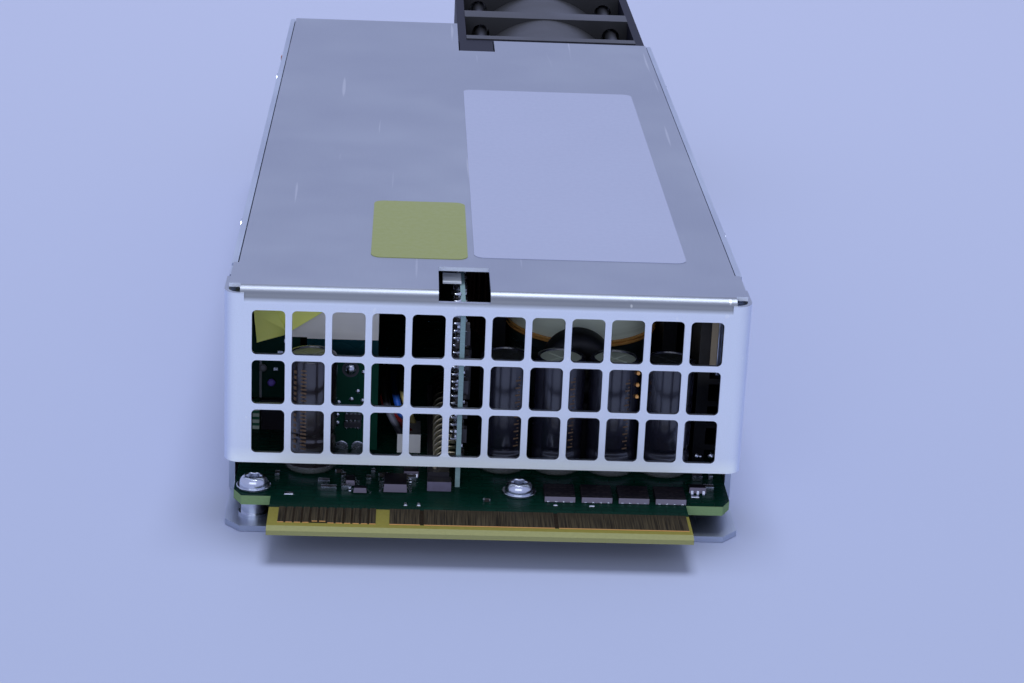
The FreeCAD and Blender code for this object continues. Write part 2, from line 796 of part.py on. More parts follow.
def board_fixings():
    """Round stand-offs on the floor and pan head screws with washers through the board."""
    pillars, screws = [], []
    for index, (x, y) in enumerate(SCREW_PLACES):
        foot = rod(f"pillar_foot_{index}", "Z", (x, y, d.chassis_sheet), d.standoff_base_radius, d.standoff_base)
        post = rod(f"pillar_post_{index}", "Z", (x, y, d.chassis_sheet), d.standoff_radius,
                   d.board_bottom - d.chassis_sheet)
        whole = join(f"pillar_{index}", foot, post)
        bore = rod(f"pillar_bore_{index}", "Z", (x, y, d.chassis_sheet + d.standoff_base),
                   d.thread_radius + d.shaft_play, d.board_bottom)
        pillars.append(cut(f"standoff_{index}", whole, bore))
        washer = rod(f"washer_{index}", "Z", (x, y, BOARD_TOP), d.washer_radius, d.washer_thickness)
        head = doc.addObject("Part::Cone", f"head_{index}")
        tie(head, Radius1=d.head_radius, Radius2=d.head_top_radius, Height=d.head_height)
        place(head, (x, y, BOARD_TOP + d.washer_thickness))
        recess = rod(f"recess_{index}", "Z",
                     (x, y, BOARD_TOP + d.washer_thickness + d.head_height - d.recess_depth),
                     d.recess_radius, d.head_height)
        thread = rod(f"thread_{index}", "Z", (x, y, BOARD_TOP - d.board_thickness - d.standoff_base), d.thread_radius,
                     d.board_thickness + d.standoff_base + d.washer_thickness)
        screws.append(cut(f"screw_{index}", join(f"screw_body_{index}", washer, head, thread), recess))
    keep("board_standoffs", group("pillar_set", *pillars))
    keep("board_screws", group("screw_set", *screws))


def edge_contacts():
    """Gold plated contacts of the card edge on both faces: signal fingers, two of them set back, then three pads."""
    tip = -d.board_shoulder - d.tongue_length + d.bevel_length + d.contact_setback
    left = d.tongue_middle - d.tongue_width / 2 + d.finger_margin
    plates = []
    for side, low in (("top", BOARD_TOP), ("under", d.board_bottom - d.contact_thickness)):
        depth = (tip, tip + d.contact_length)
        level = (low, low + d.contact_thickness)
        late = range(int(d.late_finger.number), int((d.late_finger + d.late_finger_count).number))
        for index in range(int(d.finger_count.number)):
            start = left + index * d.finger_pitch
            reach = (tip + d.late_setback, depth[1]) if index in late else depth
            plates.append(box(f"finger_{side}_{index}", (start, start + d.finger_width), reach, level))
        start = left + (d.finger_count - 1) * d.finger_pitch + d.finger_width + d.signal_gap
        for index, width in enumerate((d.signal_pad_width, d.power_pad_width, d.power_pad_width)):
            plates.append(box(f"pad_{side}_{index}", (start, start + width), depth, level))
            start = start + width + d.pad_gap
    keep("edge_contacts", group("contact_set", *plates))


def capacitor(name, x, y, radius, height):
    """Radial can: rolled groove above its seal, sleeve rim round a sunk top."""
    seal = rod(f"{name}_seal", "Z", (x, y, BOARD_TOP), radius, radius / 2)
    neck = rod(f"{name}_neck", "Z", (x, y, BOARD_TOP), radius - d.can_groove, height / 2)
    can = rod(f"{name}_can", "Z", (x, y, BOARD_TOP + radius / 2 + 2 * d.can_groove), radius,
              height - radius / 2 - 2 * d.can_groove)
    top = rod(f"{name}_top", "Z", (x, y, BOARD_TOP + height - d.can_groove), radius - 2 * d.can_groove, height)
    return cut(name, join(f"{name}_sleeve", seal, neck, can), top)


def capacitors():
    outputs = [capacitor(f"output_{index}", CAN_FIRST_X + index * d.can_pitch, d.can_y, d.can_radius, d.can_height)
               for index in range(int(d.can_count.number))]
    keep("output_capacitors", group("output_set", *outputs))
    left_can = capacitor("left_can", d.left_can_inset - BOARD_HALF, d.left_can_y, d.can_radius, d.can_height)
    keep("left_capacitor", left_can)
    x, y = d.bulk_inset + d.bulk_radius - BOARD_HALF, BOARD_REAR - d.bulk_rear_inset
    height = PLATE_UNDER - d.bulk_headroom - BOARD_TOP
    bulk = [capacitor(f"bulk_{index}", x, y + index * d.bulk_pitch, d.bulk_radius, height)
            for index in range(int(d.bulk_count.number))]
    keep("bulk_capacitors", group("bulk_set", *bulk))


def control_card():
    """Card that stands edge on behind the front, its controller and small parts, and its right-angle pin header."""
    left, right = CARD_SIDES
    front = d.cover_sheet + d.card_clearance
    keep("control_card", box("card", CARD_SIDES, (front, front + d.card_length),
                             (BOARD_TOP, PLATE_UNDER - d.card_headroom)))
    run = d.pin_count * d.pin_pitch
    keep("pin_header", box("header_base", HEADER_SIDES, (d.header_front, d.header_front + run),
                           (BOARD_TOP, BOARD_TOP + d.header_height)))
    pins = []
    middle = HEADER_SIDES[0] + d.header_width / 3
    top = BOARD_TOP + d.pin_height
    for index in range(int(d.pin_count.number)):
        y = d.header_front + (index + 0.5) * d.pin_pitch
        depth = (y - d.pin_thickness / 2, y + d.pin_thickness / 2)
        bend = body(f"pin_{index}")
        path = new_sketch(bend, f"pin_path_{index}", "XZ", -depth[0])
        thick = d.pin_thickness
        corner = d.pin_thickness * 3
        draw(path, [(middle - thick / 2, BOARD_TOP + d.header_height), (middle - thick / 2, top),
                    (left, top), (left, top - thick), (middle + thick / 2, top - thick),
                    (middle + thick / 2, BOARD_TOP + d.header_height)],
             [None, corner, None, None, corner - thick, None])
        pad(bend, path, thick, backwards=True)
        pins.append(bend)
    keep("header_pins", group("pin_set", *pins))
    start = front + d.card_part_start
    chips = [box(f"card_part_{index}", (right, right + d.card_part_proud), (start, start + d.card_part_length),
                 (d.card_part_low + index * d.card_part_pitch,
                  d.card_part_low + index * d.card_part_pitch + d.card_part_height))
             for index in range(int(d.card_part_count.number))]
    start = front + d.controller_start
    chips.append(box("controller", (right, right + d.controller_proud), (start, start + d.controller_size),
                     (d.controller_low, d.controller_low + d.controller_size)))
    keep("card_chips", group("card_chip_set", *chips))


def front_parts():
    """Flat power transistors in a row on the front edge of the board, with short leads front and back."""
    packages, leads = [], []
    front = -d.board_shoulder
    for index in range(int(d.chip_count.number)):
        x = CHIP_FIRST_X + index * d.chip_pitch
        packages.append(box(f"package_{index}", (x - d.chip_width / 2, x + d.chip_width / 2),
                            (front + d.lead_length, front + d.chip_length - d.lead_length),
                            (BOARD_TOP, BOARD_TOP + d.chip_height)))
        for step in range(4):
            at = x + (step - 1.5) * d.lead_pitch
            for row, y in enumerate((front, front + d.chip_length - d.lead_length)):
                leads.append(box(f"lead_{index}_{step}_{row}", (at - d.lead_width / 2, at + d.lead_width / 2),
                                 (y, y + d.lead_length), (BOARD_TOP, BOARD_TOP + d.lead_thickness)))
    keep("power_transistors", group("package_set", *packages))
    keep("transistor_leads", group("lead_set", *leads))


def fan_frame(label, front, struts_at_rear):
    """Square fan body: two drilled flanges, round barrel, four struts and the stator on its disc."""
    centre = (FAN_X, front, FAN_MIDDLE)
    low, high = FAN_MIDDLE - FAN_SIZE / 2, FAN_MIDDLE + FAN_SIZE / 2
    first = box(f"{label}_flange_a", (FAN_LEFT, FAN_RIGHT), (front, front + d.fan_flange), (low, high))
    second = box(f"{label}_flange_b", (FAN_LEFT, FAN_RIGHT), (front + d.fan_depth - d.fan_flange, front + d.fan_depth),
                 (low, high))
    barrel = rod(f"{label}_barrel", "Y", centre, FAN_SIZE / 2 - d.fan_barrel_gap, d.fan_depth)
    bore = rod(f"{label}_bore", "Y", (FAN_X, front - 1, FAN_MIDDLE), FAN_BORE, d.fan_depth + 2)
    holes = []
    for column in (-1, 1):
        for row in (-1, 1):
            holes.append(rod(f"{label}_hole_{column + 1}{row + 1}", "Y",
                             (FAN_X + column * FAN_HOLE, front - 1, FAN_MIDDLE + row * FAN_HOLE),
                             d.fan_hole, d.fan_depth + 2))
    shell = cut(f"{label}_shell", join(f"{label}_outside", first, second, barrel), bore, *holes)
    disc_start = front + d.fan_depth - d.fan_disc if struts_at_rear else front
    reach = FAN_BORE + d.fan_barrel_gap
    arms = [box(f"{label}_arm_x", (FAN_X - reach, FAN_X + reach), (disc_start, disc_start + d.fan_disc),
                (FAN_MIDDLE - d.strut_width / 2, FAN_MIDDLE + d.strut_width / 2)),
            box(f"{label}_arm_z", (FAN_X - d.strut_width / 2, FAN_X + d.strut_width / 2),
                (disc_start, disc_start + d.fan_disc), (FAN_MIDDLE - reach, FAN_MIDDLE + reach))]
    disc = rod(f"{label}_disc", "Y", (FAN_X, disc_start, FAN_MIDDLE), d.fan_hub, d.fan_disc)
    stator_start = disc_start - d.stator_length if struts_at_rear else disc_start + d.fan_disc
    stator = rod(f"{label}_stator", "Y", (FAN_X, stator_start, FAN_MIDDLE), d.stator_radius, d.stator_length)
    solid = join(f"{label}_solid", shell, disc, stator, *arms)
    bearing = rod(f"{label}_bearing", "Y", (FAN_X, front, FAN_MIDDLE), d.shaft_radius + d.shaft_play, d.fan_depth)
    keep(label, cut(f"{label}_whole", solid, bearing))


def fan_rotor(label, front, struts_at_rear):
    """Impeller: cup with a shaft and a ring of twisted blades lofted from root to tip."""
    wheel = body(label)
    facing = 1 if struts_at_rear else -1
    turn = 0 if struts_at_rear else 180
    wheel.Placement.Rotation = Rotation(Vector(0, 0, 1), turn)
    start = front + d.fan_depth - d.fan_disc - d.cup_gap if struts_at_rear else front + d.fan_disc + d.cup_gap
    tie(wheel, Placement__Base__x=FAN_X, Placement__Base__y=start, Placement__Base__z=FAN_MIDDLE)
    # local Y runs toward the strut disc, so the cup opens at the origin and closes behind it
    cup = new_sketch(wheel, f"{label}_cup", "XZ")
    circle(cup, 0, 0, d.fan_hub)
    circle(cup, 0, 0, d.fan_hub - d.cup_wall)
    pad(wheel, cup, d.cup_length)
    nose = new_sketch(wheel, f"{label}_nose", "XZ", d.cup_length - d.cup_wall)
    circle(nose, 0, 0, d.fan_hub)
    pad(wheel, nose, d.cup_wall)
    shaft = new_sketch(wheel, f"{label}_shaft", "XZ", d.cup_gap)
    circle(shaft, 0, 0, d.shaft_radius)
    pad(wheel, shaft, d.cup_length - d.cup_gap)
    middle = -d.cup_length / 2
    root = new_sketch(wheel, f"{label}_root", "YZ", d.fan_hub - d.cup_wall / 2)
    tip = new_sketch(wheel, f"{label}_tip", "YZ", FAN_BORE - d.blade_gap)
    for sketch, axial, sweep in ((root, d.blade_axial_root, d.blade_sweep_root),
                                 (tip, d.blade_axial_tip, d.blade_sweep_tip)):
        thick = d.blade_thickness
        draw(sketch, [(middle - axial, -facing * sweep), (middle - axial + thick, -facing * sweep),
                      (middle + axial, facing * sweep), (middle + axial - thick, facing * sweep)])
    blade = wheel.newObject("PartDesign::AdditiveLoft", f"{label}_blade")
    blade.Profile = root
    blade.Sections = [tip]
    blade.Ruled = True
    doc.recompute()
    ring_of_blades = wheel.newObject("PartDesign::PolarPattern", f"{label}_blades")
    ring_of_blades.Originals = [blade]
    ring_of_blades.Axis = (origin_part(wheel, "Y_Axis"), [""])
    ring_of_blades.Angle = 360
    tie(ring_of_blades, Occurrences=d.blade_count)
    wheel.Tip = ring_of_blades
    keep(label, wheel)


def fan_cage():
    """Moulded cage: ported front plate, a wall each side of the fans and a foot that hooks into the cover."""
    plate = box("cage_plate", (CAGE_LEFT, CAGE_RIGHT), (CAGE_FRONT, FAN_FRONT), (CAGE_LOW, CAGE_HIGH))
    left = box("cage_left", (CAGE_LEFT, FAN_LEFT), (FAN_FRONT, FAN_END), (CAGE_LOW, CAGE_HIGH))
    right = box("cage_right", (FAN_RIGHT, CAGE_RIGHT), (FAN_FRONT, FAN_END), (CAGE_LOW, CAGE_HIGH))
    foot = box("cage_foot", (CAGE_LEFT + d.seam, CAGE_LEFT + d.foot_width), (CAGE_FRONT - d.foot_length, CAGE_FRONT),
               (CAGE_HIGH - d.foot_thickness, CAGE_HIGH))
    port = rod("cage_port", "Y", (FAN_X, CAGE_FRONT - 1, FAN_MIDDLE), FAN_BORE, d.cage_plate + 2)
    pilots = [rod(f"cage_pilot_{column + 1}{row + 1}", "Y",
                  (FAN_X + column * FAN_HOLE, CAGE_FRONT - 1, FAN_MIDDLE + row * FAN_HOLE),
                  d.fan_screw_radius + d.shaft_play, d.cage_plate + 2) for column in (-1, 1) for row in (-1, 1)]
    keep("fan_cage", cut("cage", join("cage_outside", plate, left, right, foot), port, *pilots))


def fan_guard():
    """Stamped finger guard of rings and spokes, and the four long screws that hold it and both fans."""
    near, far = FAN_END, FAN_END + d.guard_thickness
    pieces = [rod("guard_hub", "Y", (FAN_X, near, FAN_MIDDLE), d.guard_hub, d.guard_thickness)]
    pitch = (FAN_BORE - d.guard_hub) / d.guard_ring_count
    for index in range(1, int(d.guard_ring_count.number) + 1):
        outer = d.guard_hub + index * pitch
        disc = rod(f"guard_disc_{index}", "Y", (FAN_X, near, FAN_MIDDLE), outer, d.guard_thickness)
        hole = rod(f"guard_gap_{index}", "Y", (FAN_X, near - 1, FAN_MIDDLE), outer - d.guard_ring_width,
                   d.guard_thickness + 2)
        pieces.append(cut(f"guard_ring_{index}", disc, hole))
    screws = []
    for column in (-1, 1):
        for row in (-1, 1):
            x, z = FAN_X + column * FAN_HOLE, FAN_MIDDLE + row * FAN_HOLE
            key = f"{column + 1}{row + 1}"
            eye = rod(f"guard_eye_{key}", "Y", (x, near, z), d.fan_screw_head, d.guard_thickness)
            hole = rod(f"guard_eye_hole_{key}", "Y", (x, near - 1, z), d.fan_screw_radius + d.shaft_play,
                       d.guard_thickness + 2)
            pieces.append(cut(f"guard_ear_{key}", eye, hole))
            shank = rod(f"fan_shank_{key}", "Y", (x, CAGE_FRONT, z), d.fan_screw_radius, far - CAGE_FRONT)
            head = rod(f"fan_head_{key}", "Y", (x, far, z), d.fan_screw_head, d.fan_screw_head_height)
            screws.append(join(f"fan_screw_{key}", shank, head))
    # each spoke ends inside the ring of its screw eye
    reach = FAN_HOLE * math.sqrt(2) - (d.fan_screw_head + d.fan_screw_radius) / 2
    for index, angle in enumerate((45, 135, 225, 315)):
        spoke = box(f"guard_spoke_{index}", (0, reach),
                    (0, d.guard_thickness), (-d.guard_ring_width / 2, d.guard_ring_width / 2))
        arm = doc.addObject("Part::Compound", f"guard_arm_{index}")
        arm.Links = [spoke]
        arm.Placement.Rotation = Rotation(Vector(0, 1, 0), angle)
        tie(arm, Placement__Base__x=FAN_X, Placement__Base__y=near, Placement__Base__z=FAN_MIDDLE)
        pieces.append(arm)
    keep("fan_guard", join("guard", *pieces))
    keep("fan_screws", group("fan_screw_set", *screws))


def mains_inlet():
    """Three-pole mains inlet: flanged moulding with a bevelled socket, and its three blades."""
    left, right = INLET_SIDES
    low, high = INLET_ENDS
    socket = body("inlet_socket")
    shell = new_sketch(socket, "inlet_shell", "XZ", -d.case_length)
    rectangle(shell, INLET_SIDES, INLET_ENDS)
    pad(socket, shell, d.inlet_depth)
    flange = new_sketch(socket, "inlet_flange_outline", "XZ", -d.case_length)
    rectangle(flange, (left - d.inlet_lip, right + d.inlet_lip), (low - d.inlet_lip, high + d.inlet_lip), d.inlet_lip)
    pad(socket, flange, d.inlet_flange, backwards=True)
    near, far = left + d.socket_side, right - d.socket_side
    floor, roof = low + d.socket_edge, high - d.socket_edge
    slope = d.socket_chamfer
    cavity = new_sketch(socket, "inlet_cavity", "XZ", -d.case_length - d.inlet_flange)
    draw(cavity, [(near, floor), (far, floor), (far, roof - slope), (far - slope, roof),
                  (near + slope, roof), (near, roof - slope)])
    pocket(socket, cavity, d.inlet_depth + d.inlet_flange - d.inlet_floor, backwards=True)
    keep("inlet_socket", socket)
    back = d.case_length - d.inlet_depth + d.inlet_floor
    blades = []
    for index, (middle, up) in enumerate(((near + d.blade_pin_inset, -1), ((near + far) / 2, 1),
                                          (far - d.blade_pin_inset, -1))):
        height = (low + high) / 2 + up * d.blade_pin_offset
        blades.append(box(f"inlet_blade_{index}",
                          (middle - d.blade_pin_thickness / 2, middle + d.blade_pin_thickness / 2),
                          (back, back + d.blade_pin_length),
                          (height - d.blade_pin_width / 2, height + d.blade_pin_width / 2)))
    keep("inlet_blades", group("blade_set", *blades))


def pull_handle():
    """Fixed D-shaped handle that stands upright on the rear panel beside the fans."""
    grip = body("pull_handle")
    left = HANDLE_LEFT
    start, reach = d.case_length, d.case_length + d.handle_reach
    top = d.case_height - d.handle_top_inset
    loop = new_sketch(grip, "handle_loop", "YZ", left)
    draw(loop, [(start, d.handle_bottom), (reach, d.handle_bottom), (reach, top), (start, top)],
         [None, d.handle_curve, d.handle_curve, None])
    inner = d.handle_curve - d.handle_bar / 2
    draw(loop, [(start + d.handle_foot, d.handle_bottom + d.handle_bar),
                (reach - d.handle_bar, d.handle_bottom + d.handle_bar),
                (reach - d.handle_bar, top - d.handle_bar),
                (start + d.handle_foot, top - d.handle_bar)], [1, inner, inner, 1])
    pad(grip, loop, d.handle_width)
    doc.recompute()
    keep("pull_handle", grip)


def release_latch():
    """Sprung lever on an upright pin inside the left wall; its tooth locks through the wall."""
    lever = body("release_latch")
    wall = -WALL_IN + d.latch_wall_gap
    inner = wall + d.latch_thickness
    plan = new_sketch(lever, "latch_plan", "XY", LATCH_LOW)
    front = LATCH_PIVOT_Y
    tab = d.case_length + d.latch_tab_length
    tooth_root = wall
    tooth_end = -WALL_OUT - d.tooth_out
    draw(plan, [(wall, front), (wall, TOOTH_Y - d.tooth_length), (tooth_end, TOOTH_Y - d.tooth_length / 5),
                (tooth_end, TOOTH_Y), (tooth_root, TOOTH_Y), (wall, tab),
                (inner + d.latch_tab_grip, tab), (inner + d.latch_tab_grip, tab - d.latch_tab_grip),
                (inner, tab - 2 * d.latch_tab_grip), (inner, front)])
    pad(lever, plan, d.latch_height)
    boss = new_sketch(lever, "latch_boss_outline", "XY", LATCH_LOW)
    pivot_x = -WALL_IN + d.latch_boss + d.bracket_gap
    circle(boss, pivot_x, front, d.latch_boss)
    pad(lever, boss, d.latch_height)
    bore = new_sketch(lever, "latch_bore", "XY", LATCH_HIGH)
    circle(bore, pivot_x, front, d.shaft_radius + d.shaft_play)
    pocket(lever, bore, d.latch_height)
    keep("release_latch", lever)

    ears = []
    for name, low in (("low", LATCH_LOW - d.bracket_gap - d.bracket_sheet), ("high", LATCH_HIGH + d.bracket_gap)):
        ears.append(box(f"bracket_{name}", (-WALL_IN, -WALL_IN + d.bracket_depth),
                        (front - d.bracket_length / 2, front + d.bracket_length / 2), (low, low + d.bracket_sheet)))
    web = box("bracket_web", (-WALL_IN + d.bracket_depth - d.bracket_sheet, -WALL_IN + d.bracket_depth),
              (front - d.bracket_length / 2, front + d.bracket_length / 2),
              (LATCH_LOW - d.bracket_gap - d.bracket_sheet, LATCH_HIGH + d.bracket_gap + d.bracket_sheet))
    hole = rod("bracket_hole", "Z", (pivot_x, front, LATCH_LOW - 2 * d.bracket_sheet), d.shaft_radius + d.shaft_play,
               d.latch_height + 4 * d.bracket_sheet)
    keep("latch_bracket", cut("bracket", join("bracket_folded", *ears, web), hole))
    spring = body("latch_spring")
    leaf = new_sketch(spring, "leaf_plan", "XY", LATCH_LOW + d.bracket_sheet)
    anchor = -WALL_IN + d.bracket_depth - d.bracket_sheet
    root, end = front + d.bracket_gap, front + d.spring_reach
    touch = inner + d.spring_play
    draw(leaf, [(anchor, root), (anchor, root + 3 * d.spring_thickness), (touch, end),
                (touch, end - 2 * d.spring_thickness)])
    pad(spring, leaf, d.latch_height - 2 * d.bracket_sheet)
    keep("latch_spring", spring)

    bottom = LATCH_LOW - d.bracket_gap - d.bracket_sheet
    pin = rod("pin_shank", "Z", (pivot_x, front, bottom - d.bracket_gap), d.shaft_radius,
              d.latch_height + 2 * (d.bracket_sheet + 2 * d.bracket_gap))
    cap_low = rod("pin_cap_low", "Z", (pivot_x, front, bottom - 2 * d.bracket_gap), d.shaft_radius * 1.7,
                  2 * d.bracket_gap)
    top = LATCH_HIGH + d.bracket_gap + d.bracket_sheet
    cap_high = rod("pin_cap_high", "Z", (pivot_x, front, top), d.shaft_radius * 1.7, 2 * d.bracket_gap)
    keep("latch_pin", join("pin", pin, cap_low, cap_high))


def status_lights():
    """Three light pipes through the rear panel."""
    pipes = [rod(f"light_{index}", "Y", (LIGHT_X + index * d.light_pitch, d.case_length - d.light_length, LIGHT_Z),
                 d.light_radius, d.light_length + d.light_proud) for index in range(int(d.light_count.number))]
    keep("status_lights", group("light_set", *pipes))
    keep("light_board", box("light_card", (LIGHT_X - d.light_pitch, LIGHT_X + d.light_count * d.light_pitch),
                            (d.case_length - d.light_length - d.board_thickness, d.case_length - d.light_length),
                            (LIGHT_Z - d.light_pitch, LIGHT_Z + d.light_pitch)))


def side_screws():
    """Flat head screws through the side walls into the cover's lips."""
    screws = []
    for side in (-1, 1):
        for index, y in enumerate(SIDE_SCREWS_Y):
            key = f"{side + 1}{index}"
            shank_start = -WALL_OUT if side < 0 else TOP_HALF - d.cover_sheet
            shank = rod(f"side_shank_{key}", "X", (shank_start, y, SIDE_SCREW_Z), d.side_screw_radius - d.shaft_play,
                        WALL_OUT - TOP_HALF + d.cover_sheet)
            head_start = -WALL_OUT - d.wall_inset if side < 0 else WALL_OUT
            head = rod(f"side_head_{key}", "X", (head_start, y, SIDE_SCREW_Z), d.side_head_radius, d.wall_inset)
            screws.append(join(f"side_screw_{key}", shank, head))
    keep("side_screws", group("side_screw_set", *screws))


def main_transformer():
    """Round bobbin between two core plates that are joined by a leg at each side, and a copper loop."""
    x, y = CORE_X, d.core_y
    seat = BOARD_TOP
    bobbin_top = PLATE_UNDER - d.core_headroom - d.core_plate
    coil_low = seat + d.core_plate
    leg = d.bobbin_radius + d.core_leg_gap
    bottom = box("core_bottom", (x - leg - d.core_leg, x + leg + d.core_leg),
                 (y - d.core_length / 2, y + d.core_length / 2),
                 (seat, coil_low))
    top = box("core_top", (x - leg - d.core_leg, x + leg + d.core_leg),
              (y - d.core_length / 2, y + d.core_length / 2),
              (bobbin_top, bobbin_top + d.core_plate))
    legs = [box(f"core_leg_{index}", edges, (y - d.core_length / 2, y + d.core_length / 2), (coil_low, bobbin_top))
            for index, edges in enumerate(((x - leg - d.core_leg, x - leg), (x + leg, x + leg + d.core_leg)))]
    keep("transformer_core", join("core", bottom, top, *legs))
    coil = rod("coil", "Z", (x, y, coil_low), d.bobbin_radius, bobbin_top - coil_low)
    trench = ring("coil_trench", "Z", (x, y, d.loop_height), d.bobbin_radius + d.loop_wire, d.loop_wire)
    keep("transformer_bobbin", cut("bobbin", coil, trench))


def output_choke():
    """Ring choke that stands upright in a moulded seat."""
    x, y, z = CORE_X + d.choke_offset, d.choke_y, d.choke_middle
    start = y - d.choke_thickness / 2
    body_ring = rod("choke_outside", "Y", (x, start, z), d.choke_radius, d.choke_thickness)
    hole = rod("choke_hole", "Y", (x, start - 1, z), d.choke_bore, d.choke_thickness + 2)
    keep("output_choke", cut("choke", body_ring, hole))
    seat = box("choke_seat_block", (x - d.choke_radius, x + d.choke_radius), (start, start + d.choke_thickness),
               (BOARD_TOP, BOARD_TOP + d.choke_seat))
    clear = rod("choke_seat_clear", "Y", (x, start - 1, z), d.choke_radius + d.choke_fit, d.choke_thickness + 2)
    keep("choke_seat", cut("seat", seat, clear))


def auxiliary_transformer():
    """Small flyback transformer: coil former below a taped core."""
    sides = (d.aux_inset - BOARD_HALF, PLUG_SIDES[0] - d.aux_plug_gap)
    depth = (d.aux_y - d.aux_length / 2, d.aux_y + d.aux_length / 2)
    keep("auxiliary_coil", box("aux_coil", sides, depth, (BOARD_TOP, d.aux_coil_top)))
    keep("auxiliary_core", box("aux_core", sides, depth, (d.aux_coil_top, PLATE_UNDER - d.aux_headroom)))


def upright_boards():
    """Board across the front left, the relay with a board that stands on it, and the socket beside the relay."""
    front = box("upright", (d.upright_inset - BOARD_HALF, PLUG_SIDES[0] - d.upright_plug_gap),
                (d.upright_y, d.upright_y + d.upright_thickness), (BOARD_TOP, d.upright_top))
    keep("sensing_board", front)
    left = d.relay_inset - BOARD_HALF
    low = BOARD_TOP + d.relay_height
    keep("relay", box("relay_case", (left, left + d.relay_width), (d.relay_y, d.relay_y + d.relay_length),
                      (BOARD_TOP, low)))
    edge = d.rear_upright_inset - BOARD_HALF
    start = d.relay_y + d.rear_upright_setback
    keep("relay_board", box("rear_upright", (edge, edge + d.rear_upright_width),
                            (start, start + d.upright_thickness), (low, d.rear_upright_top)))
    right = left - d.bracket_gap
    keep("side_socket", box("socket_case", (right - d.side_socket_width, right),
                            (d.relay_y, d.relay_y + d.side_socket_length),
                            (BOARD_TOP, BOARD_TOP + d.side_socket_height)))


def heat_sinks():
    """Finned output heat sink with its transistors, and the primary heat sink with the rectifier."""
    front, end = d.sink_front, d.sink_front + d.sink_length
    plate = box("sink_plate", (SINK_X, SINK_X + d.sink_thickness), (front, end), (BOARD_TOP, SINK_TOP))
    fins = []
    lowest = BOARD_TOP + d.fin_rise
    pitch = (SINK_TOP - d.fin_thickness - lowest) / (d.fin_count - 1)
    for index in range(int(d.fin_count.number)):
        z = lowest + index * pitch
        fins.append(box(f"fin_{index}", (SINK_X + d.sink_thickness, SINK_X + d.sink_thickness + d.fin_length),
                        (front, end), (z, z + d.fin_thickness)))
    keep("output_heat_sink", join("sink", plate, *fins))
    cases = []
    for index in range(int(d.transistor_count.number)):
        y = CORE_REAR + d.transistor_margin + index * d.transistor_pitch
        cases.append(box(f"transistor_{index}", (SINK_X - d.transistor_thickness, SINK_X),
                         (y, y + d.transistor_width), (BOARD_TOP, BOARD_TOP + d.transistor_height)))
    keep("rectifier_transistors", group("transistor_set", *cases))
    x = d.primary_sink_x
    front, end = BOOST_Y + d.boost_radius, BOARD_REAR - d.primary_sink_rear_inset
    y = (front + end) / 2
    keep("primary_heat_sink", box("primary_sink", (x, x + d.sink_thickness), (front, end),
                                  (BOARD_TOP, BOARD_TOP + d.primary_sink_height)))
    keep("bridge_rectifier", box("bridge", (x + d.sink_thickness, x + d.sink_thickness + d.rectifier_thickness),
                                 (y - d.rectifier_width / 2, y + d.rectifier_width / 2),
                                 (BOARD_TOP, BOARD_TOP + d.rectifier_height)))


def mains_side():
    """Boost choke, line filter choke, suppression capacitor and fuse."""
    hole = rod("boost_hole", "Z", (BOOST_X, BOOST_Y, 0), d.boost_bore, d.case_height)
    outside = rod("boost_outside", "Z", (BOOST_X, BOOST_Y, BOARD_TOP), d.boost_radius, d.boost_height)
    keep("boost_choke", cut("boost", outside, hole))
    left, middle = d.filter_inset - BOARD_HALF, BOARD_REAR - d.filter_rear_inset
    keep("line_filter", box("filter", (left, left + d.filter_width),
                            (middle - d.filter_length / 2, middle + d.filter_length / 2),
                            (BOARD_TOP, BOARD_TOP + d.filter_height)))
    left, middle = d.x_capacitor_inset - BOARD_HALF, BOARD_REAR - d.x_capacitor_rear_inset
    keep("suppression_capacitor", box("x_capacitor", (left, left + d.x_capacitor_width),
                                      (middle - d.x_capacitor_length / 2, middle + d.x_capacitor_length / 2),
                                      (BOARD_TOP, BOARD_TOP + d.x_capacitor_height)))
    keep("fuse", rod("fuse_tube", "X",
                     (BOARD_HALF - d.fuse_inset, BOARD_REAR - d.fuse_rear_inset, BOARD_TOP + d.fuse_radius),
                     d.fuse_radius, d.fuse_length))


def wire_plug():
    """Moulded plug of the fan and sensor wires."""
    keep("wire_plug", box("plug", PLUG_SIDES, (d.plug_y, d.plug_y + d.plug_length),
                          (BOARD_TOP, BOARD_TOP + d.plug_height)))


# Routes of the four wires, from inside the plug to the board behind it; X counts from the plug's left side

WIRE_ROUTES = {
    "wire_grey": [(0.8, 16.3, 8.6), (-1.2, 17.2, 11.4), (-2.2, 18.5, 14.2), (-2.5, 20.5, 16.4),
                  (-2.5, 23.6, 17.2), (-2.4, 28.1, 16.8), (-2.2, 31.9, 15.8), (-2, 34.9, 13.9),
                  (-1.8, 36.7, 10.7), (-1.7, 37.4, 7.9), (-1.7, 37.4, 5.7)],
    "wire_blue": [(1.2, 20.1, 8.6), (0.2, 20.8, 11.4), (-0.5, 22, 13.8), (-1, 23.9, 15.4),
                  (-1.1, 26.6, 15.9), (-0.8, 30.6, 15.5), (-0.5, 34, 14.7), (-0.2, 36.6, 13),
                  (0, 38.2, 10.1), (0.1, 38.8, 7.7), (0.1, 38.8, 5.7)],
    "wire_yellow": [(2.8, 21.2, 8.6), (1.7, 21.9, 11.2), (0.9, 23.3, 13.3), (0.5, 25.4, 14.6),
                    (0.4, 28.2, 15), (0.7, 31.9, 14.7), (1, 35, 13.9), (1.3, 37.3, 12.4),
                    (1.6, 38.9, 9.7), (1.7, 39.4, 7.5), (1.7, 39.4, 5.7)],
    "wire_red": [(2.3, 17.5, 8.6), (0.2, 18.7, 10.2), (-1.3, 20.3, 11.2), (-2.3, 22.5, 11.8),
                 (-2.7, 25.3, 12), (-2.8, 29, 12), (-2.7, 32.1, 11.5), (-2.6, 34.2, 9.7),
                 (-2.5, 35, 7.5), (-2.5, 35, 5.7)],
}






